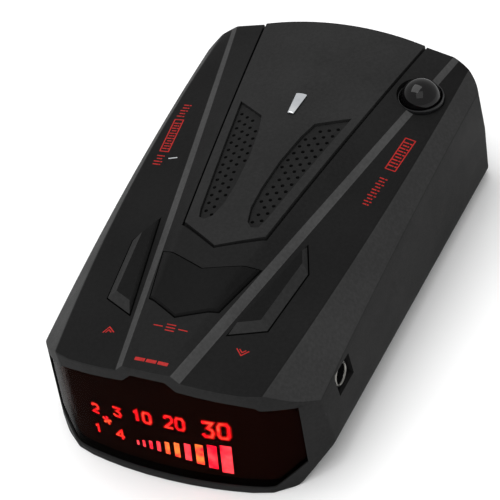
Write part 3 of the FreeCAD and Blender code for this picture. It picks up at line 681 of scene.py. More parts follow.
# %% keys
KEY_RISE, MENU_RISE, FLANGE, FLANGE_TOP, FLANGE_THICK, STEM_R = 1.3, 0.5, 0.8, 2.45, 0.8, 1.6
SWITCH_TOP = 19.2


def between_lines(front, back, rows=15, cols=21):
    """Lattice of plan points between a front line and a back line, each given left to right."""
    u = np.linspace(0.0, 1.0, cols)
    share = np.linspace(0.0, 1.0, len(front))
    lines = [np.stack([np.interp(u, share, [p[i] for p in line]) for i in (0, 1)], -1)
             for line in (front, back)]
    v = np.linspace(0.0, 1.0, rows)[:, None, None]
    plan = lines[0][None] * (1.0 - v) + lines[1][None] * v
    return plan[..., 0], plan[..., 1]


def key_cap(name, outline, insets, rise, stem_at, split, node, body):
    """Key cap from its outline: face drawn in by the insets, skirt, flange, stem."""
    def level(distance, height):
        ring = grown(outline, distance)
        back, front = ring[:split], ring[split:][::-1]
        if np.sum([p[0] for p in back[:1]]) > np.sum([p[0] for p in back[-1:]]):
            back, front = back[::-1], front[::-1]
        return on_roof(*between_lines(front, back), height)

    inset = -np.asarray(insets, float)
    stack = [level(inset, rise), level(0.0, 0.12), level(0.0, -FLANGE_TOP),
             level(FLANGE, -FLANGE_TOP), level(FLANGE, -FLANGE_TOP - FLANGE_THICK)]
    cap = closed_lofts(name, [stack])
    top = float(roof_z(np.array(stem_at[0]), np.array(stem_at[1]))) - FLANGE_TOP - 0.3
    boolean(cap, [prism("t", circle(*stem_at, STEM_R, 24), SWITCH_TOP, top)], "UNION")
    soften(cap, 0.3, angle=28.0, segments=3)
    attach(cap, body)
    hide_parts(node)
    return cap


side_insets = (0.9, 1.9, 1.9, 0.45)
down_cap = key_cap("down_cap", SIDE_KEY, side_insets, KEY_RISE, (15.4, -27.0), 2,
                   "down_button", "down_key")
up_cap = key_cap("up_cap", [(-x, y) for x, y in SIDE_KEY], side_insets, KEY_RISE,
                 (-15.4, -27.0), 2, "up_button", "up_key")
menu_cap = key_cap("menu_cap", MENU_KEY, 0.35, MENU_RISE, (0.0, -30.5), 3,
                   "menu_button", "menu_key")


# %% [markdown]
# The display window is one piece of smoked polycarbonate that wraps round the front and both
# chamfers with a soft bend. It sits half a millimetre back from the case's face.

# %% window
WINDOW_RECESS, WINDOW_THICK, WINDOW_FIT = 0.5, 1.5, 0.1


def window_lattice(gap, rows=19, cols=140):
    """x and z over the window's outline, drawn in by a gap; the side columns follow its edge."""
    side = np.array([p[1:] for p in WINDOW_TOP[-2:] + WINDOW_LOW[1:2]])
    u = np.linspace(-1.0, 1.0, cols)
    high_x, high_z = np.array([p[1:] for p in WINDOW_TOP[:-1] if p[0] != 1.0]).T
    low_x, low_z = np.array([p[1:] for p in WINDOW_LOW[:0:-1]]).T
    x_top, x_low = u * (side[0, 0] - gap), u * (side[-1, 0] - gap)
    z_top = np.interp(np.abs(x_top), high_x, high_z) - gap
    z_low = np.interp(np.abs(x_low), low_x, low_z) + gap
    v = np.linspace(0.0, 1.0, rows)[:, None]
    return x_low + v * (x_top - x_low), z_low + v * (z_top - z_low)


wx, wz = window_lattice(WINDOW_FIT)
window = closed_lofts("smoked_window", [[on_face(wx, wz, WINDOW_RECESS),
                                         on_face(wx, wz, WINDOW_RECESS + WINDOW_THICK)]])
soften(window, 0.15, angle=60.0)
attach(window, "housing")
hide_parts("display_window")


# %% [markdown]
# Everything printed is a thin film of ink: strokes of one width along short lines, laid on the
# skin they belong to. Nothing is lettered. The keys have plain signs, an arrow up, a list and an
# arrow down, the display has dial numbers, the side prints are bars, and the lip has three dashes.

# %% strokes and prints
STROKES = {
    "0": [[(0.2, 0), (0, 0.2), (0, 0.8), (0.2, 1), (0.8, 1), (1, 0.8), (1, 0.2), (0.8, 0),
           (0.2, 0)]],
    "1": [[(0.25, 0.75), (0.6, 1), (0.6, 0)]],
    "2": [[(0, 0.8), (0.2, 1), (0.8, 1), (1, 0.8), (1, 0.6), (0.05, 0), (1, 0)]],
    "3": [[(0, 1), (0.95, 1), (0.5, 0.6), (0.85, 0.5), (1, 0.3), (0.8, 0), (0.2, 0), (0, 0.15)]],
    "4": [[(0.75, 0), (0.75, 1), (0, 0.3), (1, 0.3)]],
    "rise": [[(0, 0.1), (0.5, 0.95), (1, 0.1)], [(0.25, 0.1), (0.5, 0.5), (0.75, 0.1)]],
    "fall": [[(0, 0.9), (0.5, 0.05), (1, 0.9)], [(0.25, 0.9), (0.5, 0.5), (0.75, 0.9)]],
    "list": [[(0, 0.95), (1, 0.95)], [(0, 0.5), (1, 0.5)], [(0, 0.05), (1, 0.05)]],
    "dash": [[(0, 0.5), (1, 0.5)]],
}


def ribbon(path, width, step=0.7):
    """Two rows of points, half a width to each side of a path, mitred at its corners."""
    p = np.array(path, float)
    fine = [p[:1]]
    for a, b in zip(p, p[1:]):
        n = max(1, int(math.ceil(np.linalg.norm(b - a) / step)))
        fine.append(a + (b - a) * (np.arange(1, n + 1) / n)[:, None])
    p = np.concatenate(fine)
    d = np.diff(p, axis=0)
    d /= np.linalg.norm(d, axis=1)[:, None]
    before = np.concatenate([d[:1], d])
    after = np.concatenate([d, d[-1:]])
    normal = np.stack([-(before + after)[:, 1], (before + after)[:, 0]], -1)
    normal /= np.maximum(np.linalg.norm(normal, axis=1), 0.2)[:, None]
    side = np.stack([-before[:, 1], before[:, 0]], -1)
    stretch = 1.0 / np.maximum(np.sum(normal * side, 1), 0.6)
    offset = normal * (0.5 * width * stretch)[:, None]
    ends = p.copy()
    ends[0] -= d[0] * width * 0.3
    ends[-1] += d[-1] * width * 0.3
    return np.stack([ends - offset, ends + offset], 0)


def ink(name, ribbons, place, low, high):
    """Film of ink over ribbons, as thin closed solids on a surface."""
    stacks = [[place(r[..., 0], r[..., 1], high), place(r[..., 0], r[..., 1], low)]
              for r in ribbons]
    return closed_lofts(name, stacks, weld=0.0001)


def signs(names, corner_at, across, up, gap=0.45, wide=0.11):
    """Ribbons of a row of signs laid out between a low left corner and two side vectors."""
    corner_at, across, up = (np.array(v, float) for v in (corner_at, across, up))
    cell = 1.0 / (len(names) + gap * (len(names) - 1))
    width = wide * np.linalg.norm(up)
    out = []
    for k, name in enumerate(names):
        for path in STROKES[name]:
            q = np.array(path, float)
            q = q * np.array([1.0, 1.0 - wide]) + np.array([0.0, 0.5 * wide])
            along = (q[:, 0] + k * (1.0 + gap)) * cell
            out.append(ribbon(corner_at + along[:, None] * across + q[:, 1:] * up, width))
    return out


def rides(obj, node=None, body="housing"):
    """Puts a piece on its body and the node it stands for."""
    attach(obj, body)
    if node:
        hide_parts(node)
    return obj


# How far a film of ink reaches under and over the skin, and the height and stroke of a key's sign.
INK_UNDER, INK_OVER = -0.03, 0.03
SIGN_TALL, SIGN_STROKE = 1.9, 0.13
# Each row of signs: its signs, low left corner, width vector and height vector.
KEY_SIGNS = ((["rise"], (-15.0, -43.6), (2.4, 0.4), (-0.5, SIGN_TALL)),
             (["dash", "list", "dash"], (-3.4, -42.05), (7.6, 0.05), (-0.2, SIGN_TALL)),
             (["fall"], (14.6, -42.0), (2.6, 0.1), (-0.2, SIGN_TALL)))
key_ribbons = [r for row in KEY_SIGNS for r in signs(*row, wide=SIGN_STROKE)]
rides(ink("key_legends", key_ribbons, on_roof, INK_UNDER, INK_OVER))

dash_ribbons = signs(["dash"] * 3, (-3.4, -50.8), (7.0, 0.1), (0.0, 1.6), wide=0.5)
rides(ink("lip_dashes", dash_ribbons, on_roof, INK_UNDER, INK_OVER))


# %% [markdown]
# Two strips of red print run along the side decks beside the panel: a tall bar of short rungs in
# a frame on each side, wordless, about as dense as fine lettering.

# %% side prints
def rungs(origin, along, across, count, share, width, lengths):
    """Short strokes across a strip, with lengths that repeat in a fixed order."""
    origin, along, across = (np.array(v, float) for v in (origin, along, across))
    out = []
    for i in range(count):
        t = (i + 0.5) / count
        reach = lengths[i % len(lengths)]
        a = origin + along * t + across * (0.5 - 0.5 * reach)
        b = origin + along * t + across * (0.5 + 0.5 * reach)
        out.append(ribbon([a, a + (b - a) * share], width))
        if share < 1.0:
            out.append(ribbon([b - (b - a) * (1 - share) * 0.45, b], width))
    return out


def frame_round(origin, along, across, width):
    """Closed frame of four strokes round a strip."""
    o, a, c = (np.array(v, float) for v in (origin, along, across))
    return [ribbon([o, o + a], width), ribbon([o + a, o + a + c], width),
            ribbon([o + a + c, o + c], width), ribbon([o + c, o], width)]


left_print = rungs((-28.45, 25.1), (-0.1, -4.7), (1.75, 0.0), 5, 0.62, 0.3, (1.0, 0.85, 1.0, 0.7))
left_print += frame_round((-28.5, 19.7), (1.15, -10.4), (2.15, 0.05), 0.28)
left_print += rungs((-28.1, 18.9), (1.05, -9.1), (1.55, 0.05), 11, 0.6, 0.3, (1.0, 0.8, 1.0, 0.6))
left_print += rungs((-27.35, 8.3), (0.2, -3.6), (1.95, 0.0), 4, 0.7, 0.3, (0.9, 0.6, 1.0))
right_print = frame_round((25.6, 25.2), (-0.9, -9.9), (2.4, -0.35), 0.26)
right_print += rungs((25.75, 24.4), (-0.8, -8.4), (1.9, -0.3), 9, 0.6, 0.34, (1.0, 0.7, 1.0, 0.85))
right_print += rungs((24.55, 12.8), (-1.0, -9.0), (2.1, -0.35), 10, 0.55, 0.3, (0.8, 0.6, 0.9, 0.5))
rides(ink("side_prints", left_print + right_print, on_roof, INK_UNDER, 0.025))
sliver = ink("deck_sliver", [ribbon([(-24.1, 7.3), (-22.3, 7.9)], 0.3)], on_roof, INK_UNDER, 0.04)
rides(sliver)


# %% [markdown]
# Behind the window lies the legend plate, a black film over the light box. The lit marks are ink
# windows on its face, which glow red, with the middle of the larger marks running to orange.

# %% display
PLATE_FROM, PLATE_TO, PLATE_INSET = 2.12, 2.2, 0.6
# Lifts of the films' back and front over the plate: the lit marks, and the glow behind them.
MARK_FILM, HALO_FILM = (0.03, 0.05), (0.004, 0.015)


def on_plate(x, z, lift):
    """Points in front of the legend plate by a lift."""
    return on_face(x, z, PLATE_FROM - lift)


px, pz = window_lattice(PLATE_INSET)
legend_plate = closed_lofts("legend_plate", [[on_face(px, pz, PLATE_FROM),
                                              on_face(px, pz, PLATE_TO)]])
rides(smooth(legend_plate), "legend_film")

# Each mark: its signs, low left corner, width, height, and stroke width as a share of height.
MARKS = ((["2"], (-17.5, 11.2), 1.5, 2.6, 0.14), (["3"], (-11.8, 12.4), 1.7, 2.7, 0.14),
         (["1"], (-18.1, 5.5), 1.6, 2.4, 0.14), (["4"], (-12.3, 6.0), 1.9, 2.8, 0.11),
         (["1", "0"], (-6.9, 13.0), 4.2, 3.2, 0.14), (["2", "0"], (0.7, 13.2), 4.3, 3.5, 0.12),
         (["3", "0"], (9.2, 12.5), 5.6, 4.4, 0.12))
MARK_LEAN = 0.06
marks = []
for names, low_left, wide, tall, stroke in MARKS:
    marks += signs(names, low_left, (wide, 0.0), (MARK_LEAN * tall, tall), gap=0.5, wide=stroke)
rides(ink("band_marks", marks, on_plate, *MARK_FILM))

STAR_AT, STAR_ARMS, STAR_TURN, STAR_STROKE = np.array([-14.1, 10.2]), 5, 0.15, 0.42
tips = [STAR_AT + np.array([math.sin(a), math.cos(a)])
        for a in np.arange(STAR_ARMS) * 2.0 * math.pi / STAR_ARMS + STAR_TURN]
star = [ribbon([STAR_AT, tip], STAR_STROKE) for tip in tips]
rides(ink("star_mark", star, on_plate, *MARK_FILM))

# A signal bar for each step t from 0 to 1: wider, taller and further from the last as the signal
# grows. Its place and top are a + b t + c t^2, its foot a + b t^3, its width a + b t + c t^3.
BAR_COUNT, WARM_BARS = 10, (4, 5, 7)
BAR_PLACE, BAR_TOP = (-7.0, 12.6, 7.6), (7.1, 4.1, -1.25)
BAR_FOOT, BAR_WIDE = (6.2, -2.4), (0.55, 0.9, 1.0)
bars = []
for t in np.linspace(0.0, 1.0, BAR_COUNT):
    x = BAR_PLACE[0] + BAR_PLACE[1] * t + BAR_PLACE[2] * t * t
    z_low = BAR_FOOT[0] + BAR_FOOT[1] * t ** 3
    z_high = BAR_TOP[0] + BAR_TOP[1] * t + BAR_TOP[2] * t * t
    bars.append(ribbon([(x, z_low), (x + MARK_LEAN * (z_high - z_low), z_high)],
                       BAR_WIDE[0] + BAR_WIDE[1] * t + BAR_WIDE[2] * t ** 3))
cool = [bar for k, bar in enumerate(bars) if k not in WARM_BARS]
warm = [bars[k] for k in WARM_BARS]
rides(ink("signal_bars", cool, on_plate, *MARK_FILM))
rides(ink("signal_bars_warm", warm, on_plate, *MARK_FILM))
# The glow is a wider copy of each stroke: so many times as wide, or so much wider on each side.
HALO_TIMES, HALO_MORE = 2.3, 0.3
spread = [m.mean(0) + (m - m.mean(0)) * HALO_TIMES for m in marks + star]
spread += [bar + np.array([[[-HALO_MORE, 0.0]], [[HALO_MORE, 0.0]]]) for bar in bars]
rides(ink("marks_halo", spread, on_plate, *HALO_FILM))


# %% [markdown]
# The light sensor's lens is a dark polished half ball in a plain ring. Both are turned shapes:
# a profile spun round the lens axis, which leans outwards with the deck.

# %% dome and ring
DOME_R, DOME_WALL, DOME_Z, DOME_FOOT_Z = 4.55, 0.8, 30.75, 28.2
# The deck's lean in degrees at the lens, and the parts of it that the lens and the ring take up.
DOME_LEAN = 8.5
LENS_LEAN, RING_LEAN = DOME_LEAN * 0.5, DOME_LEAN * 0.35


def turned(name, profile, lean, around=72):
    """Closed turned shape: a loop of (radius, z) spun round the lens axis, then leant over."""
    ring = np.array(profile, float)
    a = np.linspace(0.0, 2.0 * math.pi, around, endpoint=False)[:, None]
    x, y = ring[None, :, 0] * np.cos(a), ring[None, :, 0] * np.sin(a)
    z = np.broadcast_to(ring[None, :, 1] - DOME_Z, x.shape)
    tilt = math.radians(lean)
    grid = np.stack([x * math.cos(tilt) + z * math.sin(tilt) + DOME_AT[0], y + DOME_AT[1],
                     z * math.cos(tilt) - x * math.sin(tilt) + DOME_Z], -1)
    return new_object(name, grid.reshape(-1, 3), ring_quads(*grid.shape[:2]))


def quarter(r, base, count, reverse=False):
    """Quarter circle of (radius, z) from the equator to the pole."""
    a = np.linspace(0.0, math.pi / 2, count)
    arc = [(r * math.cos(t), base + r * math.sin(t)) for t in a]
    return arc[::-1] if reverse else arc


dome_in = DOME_R - DOME_WALL
dome = turned("sensor_lens", [(DOME_R, DOME_FOOT_Z)] + quarter(DOME_R, DOME_Z, 20)
              + quarter(dome_in, DOME_Z, 16, True) + [(dome_in, DOME_FOOT_Z)], LENS_LEAN)
rides(smooth(dome), "sensor_dome")
ring_profile = [(3.6, 26.6), (5.0, 26.6), (5.0, 29.6), (5.2, 30.2), (5.2, 31.05), (5.12, 31.3),
                (5.05, 31.38), (4.9, 31.36), (4.8, 31.2), (4.76, 30.9), (4.75, 28.1), (3.6, 28.1)]
bezel = turned("lens_ring", ring_profile, RING_LEAN)
rides(smooth(bezel, 40.0), "dome_bezel")


# %% [markdown]
# A small plated bar sits at the back of the crown panel: a tapered slip with rolled edges.

# %% plated bar
TRIM_FROM_Y, TRIM_LONG, TRIM_HALF, TRIM_FLARE = 22.3, 6.5, 0.75, 0.6
TRIM_EDGE_UP, TRIM_ARCH, TRIM_FOOT_UP = 0.62, 0.2, 0.1
across = np.linspace(-1.0, 1.0, 9)[None, :]
along = np.linspace(0.0, 1.0, 25)[:, None]
trim_x = across * (TRIM_HALF + TRIM_FLARE * along)
trim_y = TRIM_FROM_Y + TRIM_LONG * along + 0.0 * across
trim_up = TRIM_EDGE_UP + TRIM_ARCH * (1.0 - across ** 2) + 0.0 * along
trim_bar = closed_lofts("trim_bar", [[on_crown(trim_x, trim_y, trim_up),
                                      on_crown(trim_x, trim_y, TRIM_FOOT_UP)]])
rides(soften(trim_bar, 0.18, segments=3), "chrome_badge")


# %% [markdown]
# The power socket's face has a turned nickel ring round its hole, proud of the moulded body. Its
# section is a loop of radius and height above that face.

# %% socket ring
RING_STEPS = 48
RING_SECTION = ((2.15, 0.02), (2.22, 0.2), (2.4, 0.32), (2.6, 0.28), (2.76, 0.12), (2.8, 0.0),
                (2.8, -0.2), (2.15, -0.2))
spin = np.array([[(JACK_FACE_X + h, JACK_Y + r * math.cos(t), JACK_Z + r * math.sin(t))
                  for r, h in RING_SECTION]
                 for t in np.linspace(0.0, 2.0 * math.pi, RING_STEPS, endpoint=False)])
socket_ring = new_object("socket_ring", spin.reshape(-1, 3), ring_quads(*spin.shape[:2]))
rides(smooth(socket_ring, 40.0))
print("pieces made")


# %% [markdown]
# Finishes. Colours are given as sRGB hex and turned linear by one function. Each material takes
# its pattern from object coordinates, in metres, so a scale of 1 / size gives the real size.

# %% material tools
def linear(code):
    """Linear RGBA from an sRGB hex colour."""
    c = np.array([int(code[i:i + 2], 16) / 255.0 for i in (1, 3, 5)])
    c = np.where(c <= 0.04045, c / 12.92, ((c + 0.055) / 1.055) ** 2.4)
    return (*c.tolist(), 1.0)


def add(tree, kind, inputs=None, **settings):
    """Adds a node; inputs are constants or sockets of other nodes."""
    node = tree.nodes.new(kind)
    for key, value in settings.items():
        setattr(node, key, value)
    for key, value in (inputs or {}).items():
        if isinstance(value, bpy.types.NodeSocket):
            tree.links.new(value, node.inputs[key])
        else:
            node.inputs[key].default_value = value
    return node


def blank(name):
    """New material with its shader and object coordinates."""
    mat = bpy.data.materials.new(name)
    mat.use_nodes = True
    tree = mat.node_tree
    shader = tree.nodes["Principled BSDF"]
    place = add(tree, "ShaderNodeTexCoord").outputs["Object"]
    return mat, tree, shader, place


def noise(tree, place, size_mm, detail=3.0, rough=0.55):
    """Noise whose features are about size_mm across."""
    return add(tree, "ShaderNodeTexNoise", {"Vector": place, "Scale": 1000.0 / size_mm,
                                            "Detail": detail, "Roughness": rough}).outputs["Fac"]


def remap(tree, value, low, high, start=0.3, end=0.7):
    """Value spread from low to high."""
    node = add(tree, "ShaderNodeMapRange", {"Value": value, "From Min": start, "From Max": end,
                                            "To Min": low, "To Max": high})
    return node.outputs["Result"]


def mixed(tree, share, a, b, gains=(1.0, 1.0)):
    """Colour between two hex colours, each made darker or lighter by its gain."""
    ends = [(*(np.array(linear(code)[:3]) * gain).tolist(), 1.0)
            for code, gain in zip((a, b), gains)]
    node = add(tree, "ShaderNodeMix", {0: share, 6: ends[0], 7: ends[1]}, data_type="RGBA")
    return node.outputs[2]


def bumped(tree, shader, height, mm, strength=1.0):
    """Bump from a height pattern, mm deep."""
    node = add(tree, "ShaderNodeBump", {"Height": height, "Distance": mm * MM,
                                        "Strength": strength})
    tree.links.new(node.outputs["Normal"], shader.inputs["Normal"])


def moulded(name, tone, rough, grain_mm, grain_deep, gloss=0.02, spread=0.06):
    """Moulded plastic: spark-eroded grain, slow colour drift, rubbed patches in the gloss."""
    mat, tree, shader, place = blank(name)
    drift = noise(tree, place, 22.0, 2.0)
    speck = noise(tree, place, 0.7, 2.0)
    both = add(tree, "ShaderNodeMath", {0: drift, 1: speck}, operation="ADD").outputs[0]
    share = remap(tree, both, 0.0, 1.0, 0.75, 1.25)
    tree.links.new(mixed(tree, share, tone, tone, (0.86, 1.14)), shader.inputs["Base Color"])
    wear = remap(tree, noise(tree, place, 9.0, 5.0, 0.65), rough - spread, rough + spread)
    tree.links.new(wear, shader.inputs["Roughness"])
    shader.inputs["IOR"].default_value = 1.52
    shader.inputs["Specular IOR Level"].default_value = gloss
    bumped(tree, shader, noise(tree, place, grain_mm, 4.0, 0.7), grain_deep)
    return mat


def metal(name, colour_a, colour_b, rough, brushed_mm=0.25, deep=0.004):
    """Metal: faint grain in the reflection and a slow change of tint."""
    mat, tree, shader, place = blank(name)
    tree.links.new(mixed(tree, remap(tree, noise(tree, place, 4.0), 0.0, 1.0), colour_a, colour_b),
                   shader.inputs["Base Color"])
    tree.links.new(remap(tree, noise(tree, place, 1.5, 4.0), rough * 0.7, rough * 1.4),
                   shader.inputs["Roughness"])
    shader.inputs["Metallic"].default_value = 1.0
    bumped(tree, shader, noise(tree, place, brushed_mm, 2.0), deep)
    return mat


def finish_with(name, *materials):
    """Gives an object its materials, in place of those it came with."""
    mesh = bpy.data.objects[name].data
    index = np.zeros(len(mesh.polygons), np.int32)
    mesh.polygons.foreach_get("material_index", index)
    mesh.materials.clear()
    for mat in materials:
        mesh.materials.append(mat)
    mesh.polygons.foreach_set("material_index", np.minimum(index, len(materials) - 1))


def mark_painted_highlight_bevels(obj, low=0.25, high=0.93):
    """Gives the sloping upper faces of a cap the second material, a lighter tone that is a painted
    highlight.
    """
    mesh = obj.data
    normals = np.zeros(3 * len(mesh.polygons))
    mesh.polygons.foreach_get("normal", normals)
    up_part = normals.reshape(-1, 3)[:, 2]
    sloped = (up_part > low) & (up_part < high)
    mesh.polygons.foreach_set("material_index", sloped.astype(np.int32))


# %% [markdown]
# Charcoal ABS for the case: near black, with almost no reflection. It is one plastic, but each zone
# gets
# its own tone: the ridge flanks, outer strips, side walls and lip are painted lighter and the decks
# darker, as painted light and shade.

# %% plastics
crown_abs = moulded("charcoal_abs_crown", "#1c1c1c", 0.50, 0.28, 0.03)
# The ridge, strip, side and lip tones are painted light; the deck tone is painted shade.
ridge_abs_painted_light = moulded("charcoal_abs_ridge_flank_painted_light", "#3e3e3e", 0.55, 0.30, 0.03)
deck_abs_painted_shade = moulded("charcoal_abs_deck_painted_shade", "#181818", 0.45, 0.22, 0.02)
strip_abs_painted_light = moulded("charcoal_abs_outer_strip_painted_light", "#323232", 0.55, 0.30, 0.03)
side_abs_painted_light = moulded("charcoal_abs_side_wall_painted_light", "#262626", 0.50, 0.30, 0.035)
lip_abs_painted_light = moulded("charcoal_abs_lip_painted_light", "#272727", 0.45, 0.25, 0.02)
panel_abs = moulded("charcoal_abs_panel", "#272727", 0.50, 0.30, 0.03)
pad_abs = moulded("black_abs_perforated_pad", "#1f1f1f", 0.55, 0.35, 0.05)
key_abs = moulded("black_abs_keys", "#131313", 0.42, 0.25, 0.015)
# The key bevels' lighter tone is a painted highlight on the same black plastic.
key_bevel_painted_highlight = moulded("black_abs_key_bevels_painted_highlight", "#2a2a2a", 0.38, 0.25, 0.01)
ring_abs = moulded("black_abs_satin_ring", "#141415", 0.32, 0.25, 0.01, gloss=0.3)
nylon = moulded("black_glass_filled_nylon", "#101011", 0.5, 0.3, 0.04)
white_abs = moulded("white_abs_light_box", "#d8d8d2", 0.5, 0.3, 0.02)
for piece in ("upper_shell", "lower_shell"):
    finish_with(piece, crown_abs, ridge_abs_painted_light, deck_abs_painted_shade, strip_abs_painted_light, side_abs_painted_light, lip_abs_painted_light)
finish_with("crown_panel", panel_abs)
# The sloping bevels of the side keys take the painted highlight tone.
mark_painted_highlight_bevels(up_cap)
mark_painted_highlight_bevels(down_cap)
for cap in (up_cap, menu_cap, down_cap):
    finish_with(cap.name, key_abs, key_bevel_painted_highlight)
for piece in ("left_grille", "right_grille"):
    finish_with(piece, pad_abs)
finish_with("lens_ring", ring_abs)
for piece in ("jack_housing", "switch_bases", "display_header"):
    finish_with(piece, nylon)
finish_with("display_reflector", white_abs)


# %% [markdown]
# The smoked window is clear polycarbonate with a grey-brown dye. Daylight crosses it twice, in and
# out, and the light of the marks once. Its index is set close to that of air, well under the real
# resin's, which keeps the surface dark and the render free of grain. The lens is dyed almost
# black and polished, and its index is lowered too.

# %% window, lens, ink and light
def dyed(name, colour_a, colour_b, rough, ior, through):
    """Dyed clear resin: part of the light passes, with a slow change in depth of colour."""
    mat, tree, shader, place = blank(name)
    tree.links.new(mixed(tree, remap(tree, noise(tree, place, 30.0), 0.0, 1.0), colour_a, colour_b),
                   shader.inputs["Base Color"])
    tree.links.new(remap(tree, noise(tree, place, 6.0, 4.0), rough, rough * 2.0),
                   shader.inputs["Roughness"])
    shader.inputs["IOR"].default_value = ior
    shader.inputs["Transmission Weight"].default_value = through
    return mat


def inked(name, colour_a, colour_b, rough=0.45, gloss=0.1, deep=0.01):
    """Screen-printed ink: small breaks in density, a dry surface."""
    mat, tree, shader, place = blank(name)
    density = remap(tree, noise(tree, place, 0.5, 4.0), 0.0, 1.0)
    tree.links.new(mixed(tree, density, colour_a, colour_b), shader.inputs["Base Color"])
    tree.links.new(remap(tree, noise(tree, place, 1.2), rough - 0.08, rough + 0.1),
                   shader.inputs["Roughness"])
    shader.inputs["Specular IOR Level"].default_value = gloss
    bumped(tree, shader, noise(tree, place, 0.3), deep)
    return mat


def lit(name, edge, core, strength, spot_mm, low=0.45, high=0.6):
    """Back-lit film: the glow runs from an edge colour to a hotter core where the lamp sits."""
    mat, tree, shader, place = blank(name)
    share = remap(tree, noise(tree, place, spot_mm, 1.0), 0.0, 1.0, low, high)
    shader.inputs["Base Color"].default_value = linear("#300806")
    tree.links.new(mixed(tree, share, edge, core), shader.inputs["Emission Color"])
    level = remap(tree, noise(tree, place, 1.6, 2.0), 0.6 * strength, strength)
    tree.links.new(level, shader.inputs["Emission Strength"])
    return mat


window_pc = dyed("smoked_polycarbonate_window", "#7c7370", "#857b78", 0.0, 1.03, 1.0)
lens_pc = dyed("dark_polycarbonate_lens", "#030303", "#070607", 0.03, 1.32, 0.1)
red_ink = inked("red_print_ink", "#8c1715", "#a8211e")
plate_ink = inked("black_legend_plate", "#63392f", "#704539", 0.7, 0.0, 0.002)
glow_red = lit("lit_red_marks", "#ff1420", "#ff4a34", 10.0, 2.6, 0.45, 0.7)
glow_bar = lit("lit_red_bars", "#ff1430", "#ff4650", 9.0, 4.0, 0.42, 0.62)
glow_warm = lit("lit_amber_spots", "#ff2030", "#ff7a38", 10.0, 2.6, 0.38, 0.62)
glow_halo = lit("lit_red_halo", "#8c0606", "#9c0a06", 9.0, 3.0)
finish_with("smoked_window", window_pc)
finish_with("sensor_lens", lens_pc)
for piece in ("key_legends", "lip_dashes", "side_prints"):
    finish_with(piece, red_ink)
finish_with("legend_plate", plate_ink)
finish_with("band_marks", glow_red)
finish_with("signal_bars", glow_bar)
finish_with("signal_bars_warm", glow_warm)
finish_with("star_mark", glow_warm)
finish_with("marks_halo", glow_halo)


# %% [markdown]
# Metals and the electronics inside: plated trim, steel screws, gold and tin pins, a die-cast horn,
# green fibreglass boards with a weave, epoxy packages and the paper cone of the speaker.

# %% metals and inner parts
chrome = metal("plated_chrome_trim", "#c9ccd0", "#e4e6e8", 0.12)
steel = metal("zinc_plated_steel_screws", "#8f9296", "#aeb1b5", 0.32)
gold = metal("gold_plated_pins", "#b8923c", "#d6b25c", 0.28)
nickel = metal("nickel_contact", "#a8a69e", "#c6c4bc", 0.25)
ring_nickel = metal("satin_nickel_socket_ring", "#6c6b68", "#8e8d88", 0.3)
cast = metal("die_cast_zinc", "#77797b", "#95979a", 0.5, 0.6, 0.02)
tin = metal("tin_plate_can", "#a4a7a9", "#c0c3c5", 0.34)
can = metal("crystal_can_nickel", "#a9a8a2", "#c4c3bd", 0.24)
frame_steel = metal("pressed_speaker_steel", "#3c3d3f", "#55575a", 0.42)


def woven_board(name, dark, light):
    """Circuit board: solder mask over a glass weave."""
    mat, tree, shader, place = blank(name)
    weave = add(tree, "ShaderNodeTexWave", {"Vector": place, "Scale": 900.0, "Distortion": 0.6},
                bands_direction="X").outputs["Fac"]
    cross = add(tree, "ShaderNodeTexWave", {"Vector": place, "Scale": 900.0, "Distortion": 0.6},
                bands_direction="Y").outputs["Fac"]
    both = add(tree, "ShaderNodeMath", {0: weave, 1: cross}, operation="MULTIPLY").outputs[0]
    tree.links.new(mixed(tree, both, dark, light), shader.inputs["Base Color"])
    shader.inputs["Roughness"].default_value = 0.35
    bumped(tree, shader, both, 0.02)
    return mat


board = woven_board("green_solder_mask_board", "#0d3b22", "#17542f")
ptfe = woven_board("white_ptfe_board", "#b9b8ac", "#d2d1c6")
epoxy = moulded("black_epoxy_package", "#171718", 0.55, 0.2, 0.02)
sleeve = moulded("blue_capacitor_sleeve", "#1b2c58", 0.3, 0.8, 0.01, gloss=0.5)
paper = moulded("speaker_cone_paper", "#1f1f22", 0.85, 0.5, 0.05)
ferrite = moulded("ferrite_magnet", "#272729", 0.6, 0.4, 0.04)
plunger_abs = moulded("grey_switch_plunger", "#58595c", 0.45, 0.3, 0.02)
led_clear = dyed("clear_led_epoxy", "#d8c8c0", "#efe4dc", 0.12, 1.54, 0.6)
INNER = {
    "case_screws": steel, "board_screws": steel, "header_pins": gold, "jack_pin": nickel,
    "jack_spring": nickel, "horn_antenna": cast, "antenna_shield": tin, "mixer_board": ptfe,
    "main_board": board, "display_board": board, "sensor_board": board, "display_leds": led_clear,
    "photodiode": led_clear, "microcontroller": epoxy, "voice_chip": epoxy, "crystal": can,
    "voltage_regulator": epoxy, "chip_resistors": epoxy, "capacitors": sleeve,
    "speaker_cone": paper, "speaker_frame": frame_steel, "speaker_magnet": ferrite,
    "up_plunger": plunger_abs, "menu_plunger": plunger_abs, "down_plunger": plunger_abs,
}
for node, mat in INNER.items():
    finish_with(node, mat)
for piece in ("trim_bar", "deck_sliver"):
    finish_with(piece, chrome)
finish_with("socket_ring", ring_nickel)


# %% [markdown]
# A pale seamless floor, one broad soft light high on the left, a weaker one in front, an even white
# surround, and a long-lens camera turned a little on its axis.

# %% floor, lights and camera
AIM, DISTANCE = (0.0, -0.0017, 0.0182), 0.4626
AZIMUTH, ELEVATION, ROLL = 33.44, 42.53, -13.42
SENSOR, LENS_RATIO, SHIFT = 36.0, 4.2477, (-0.0177, -0.0174)


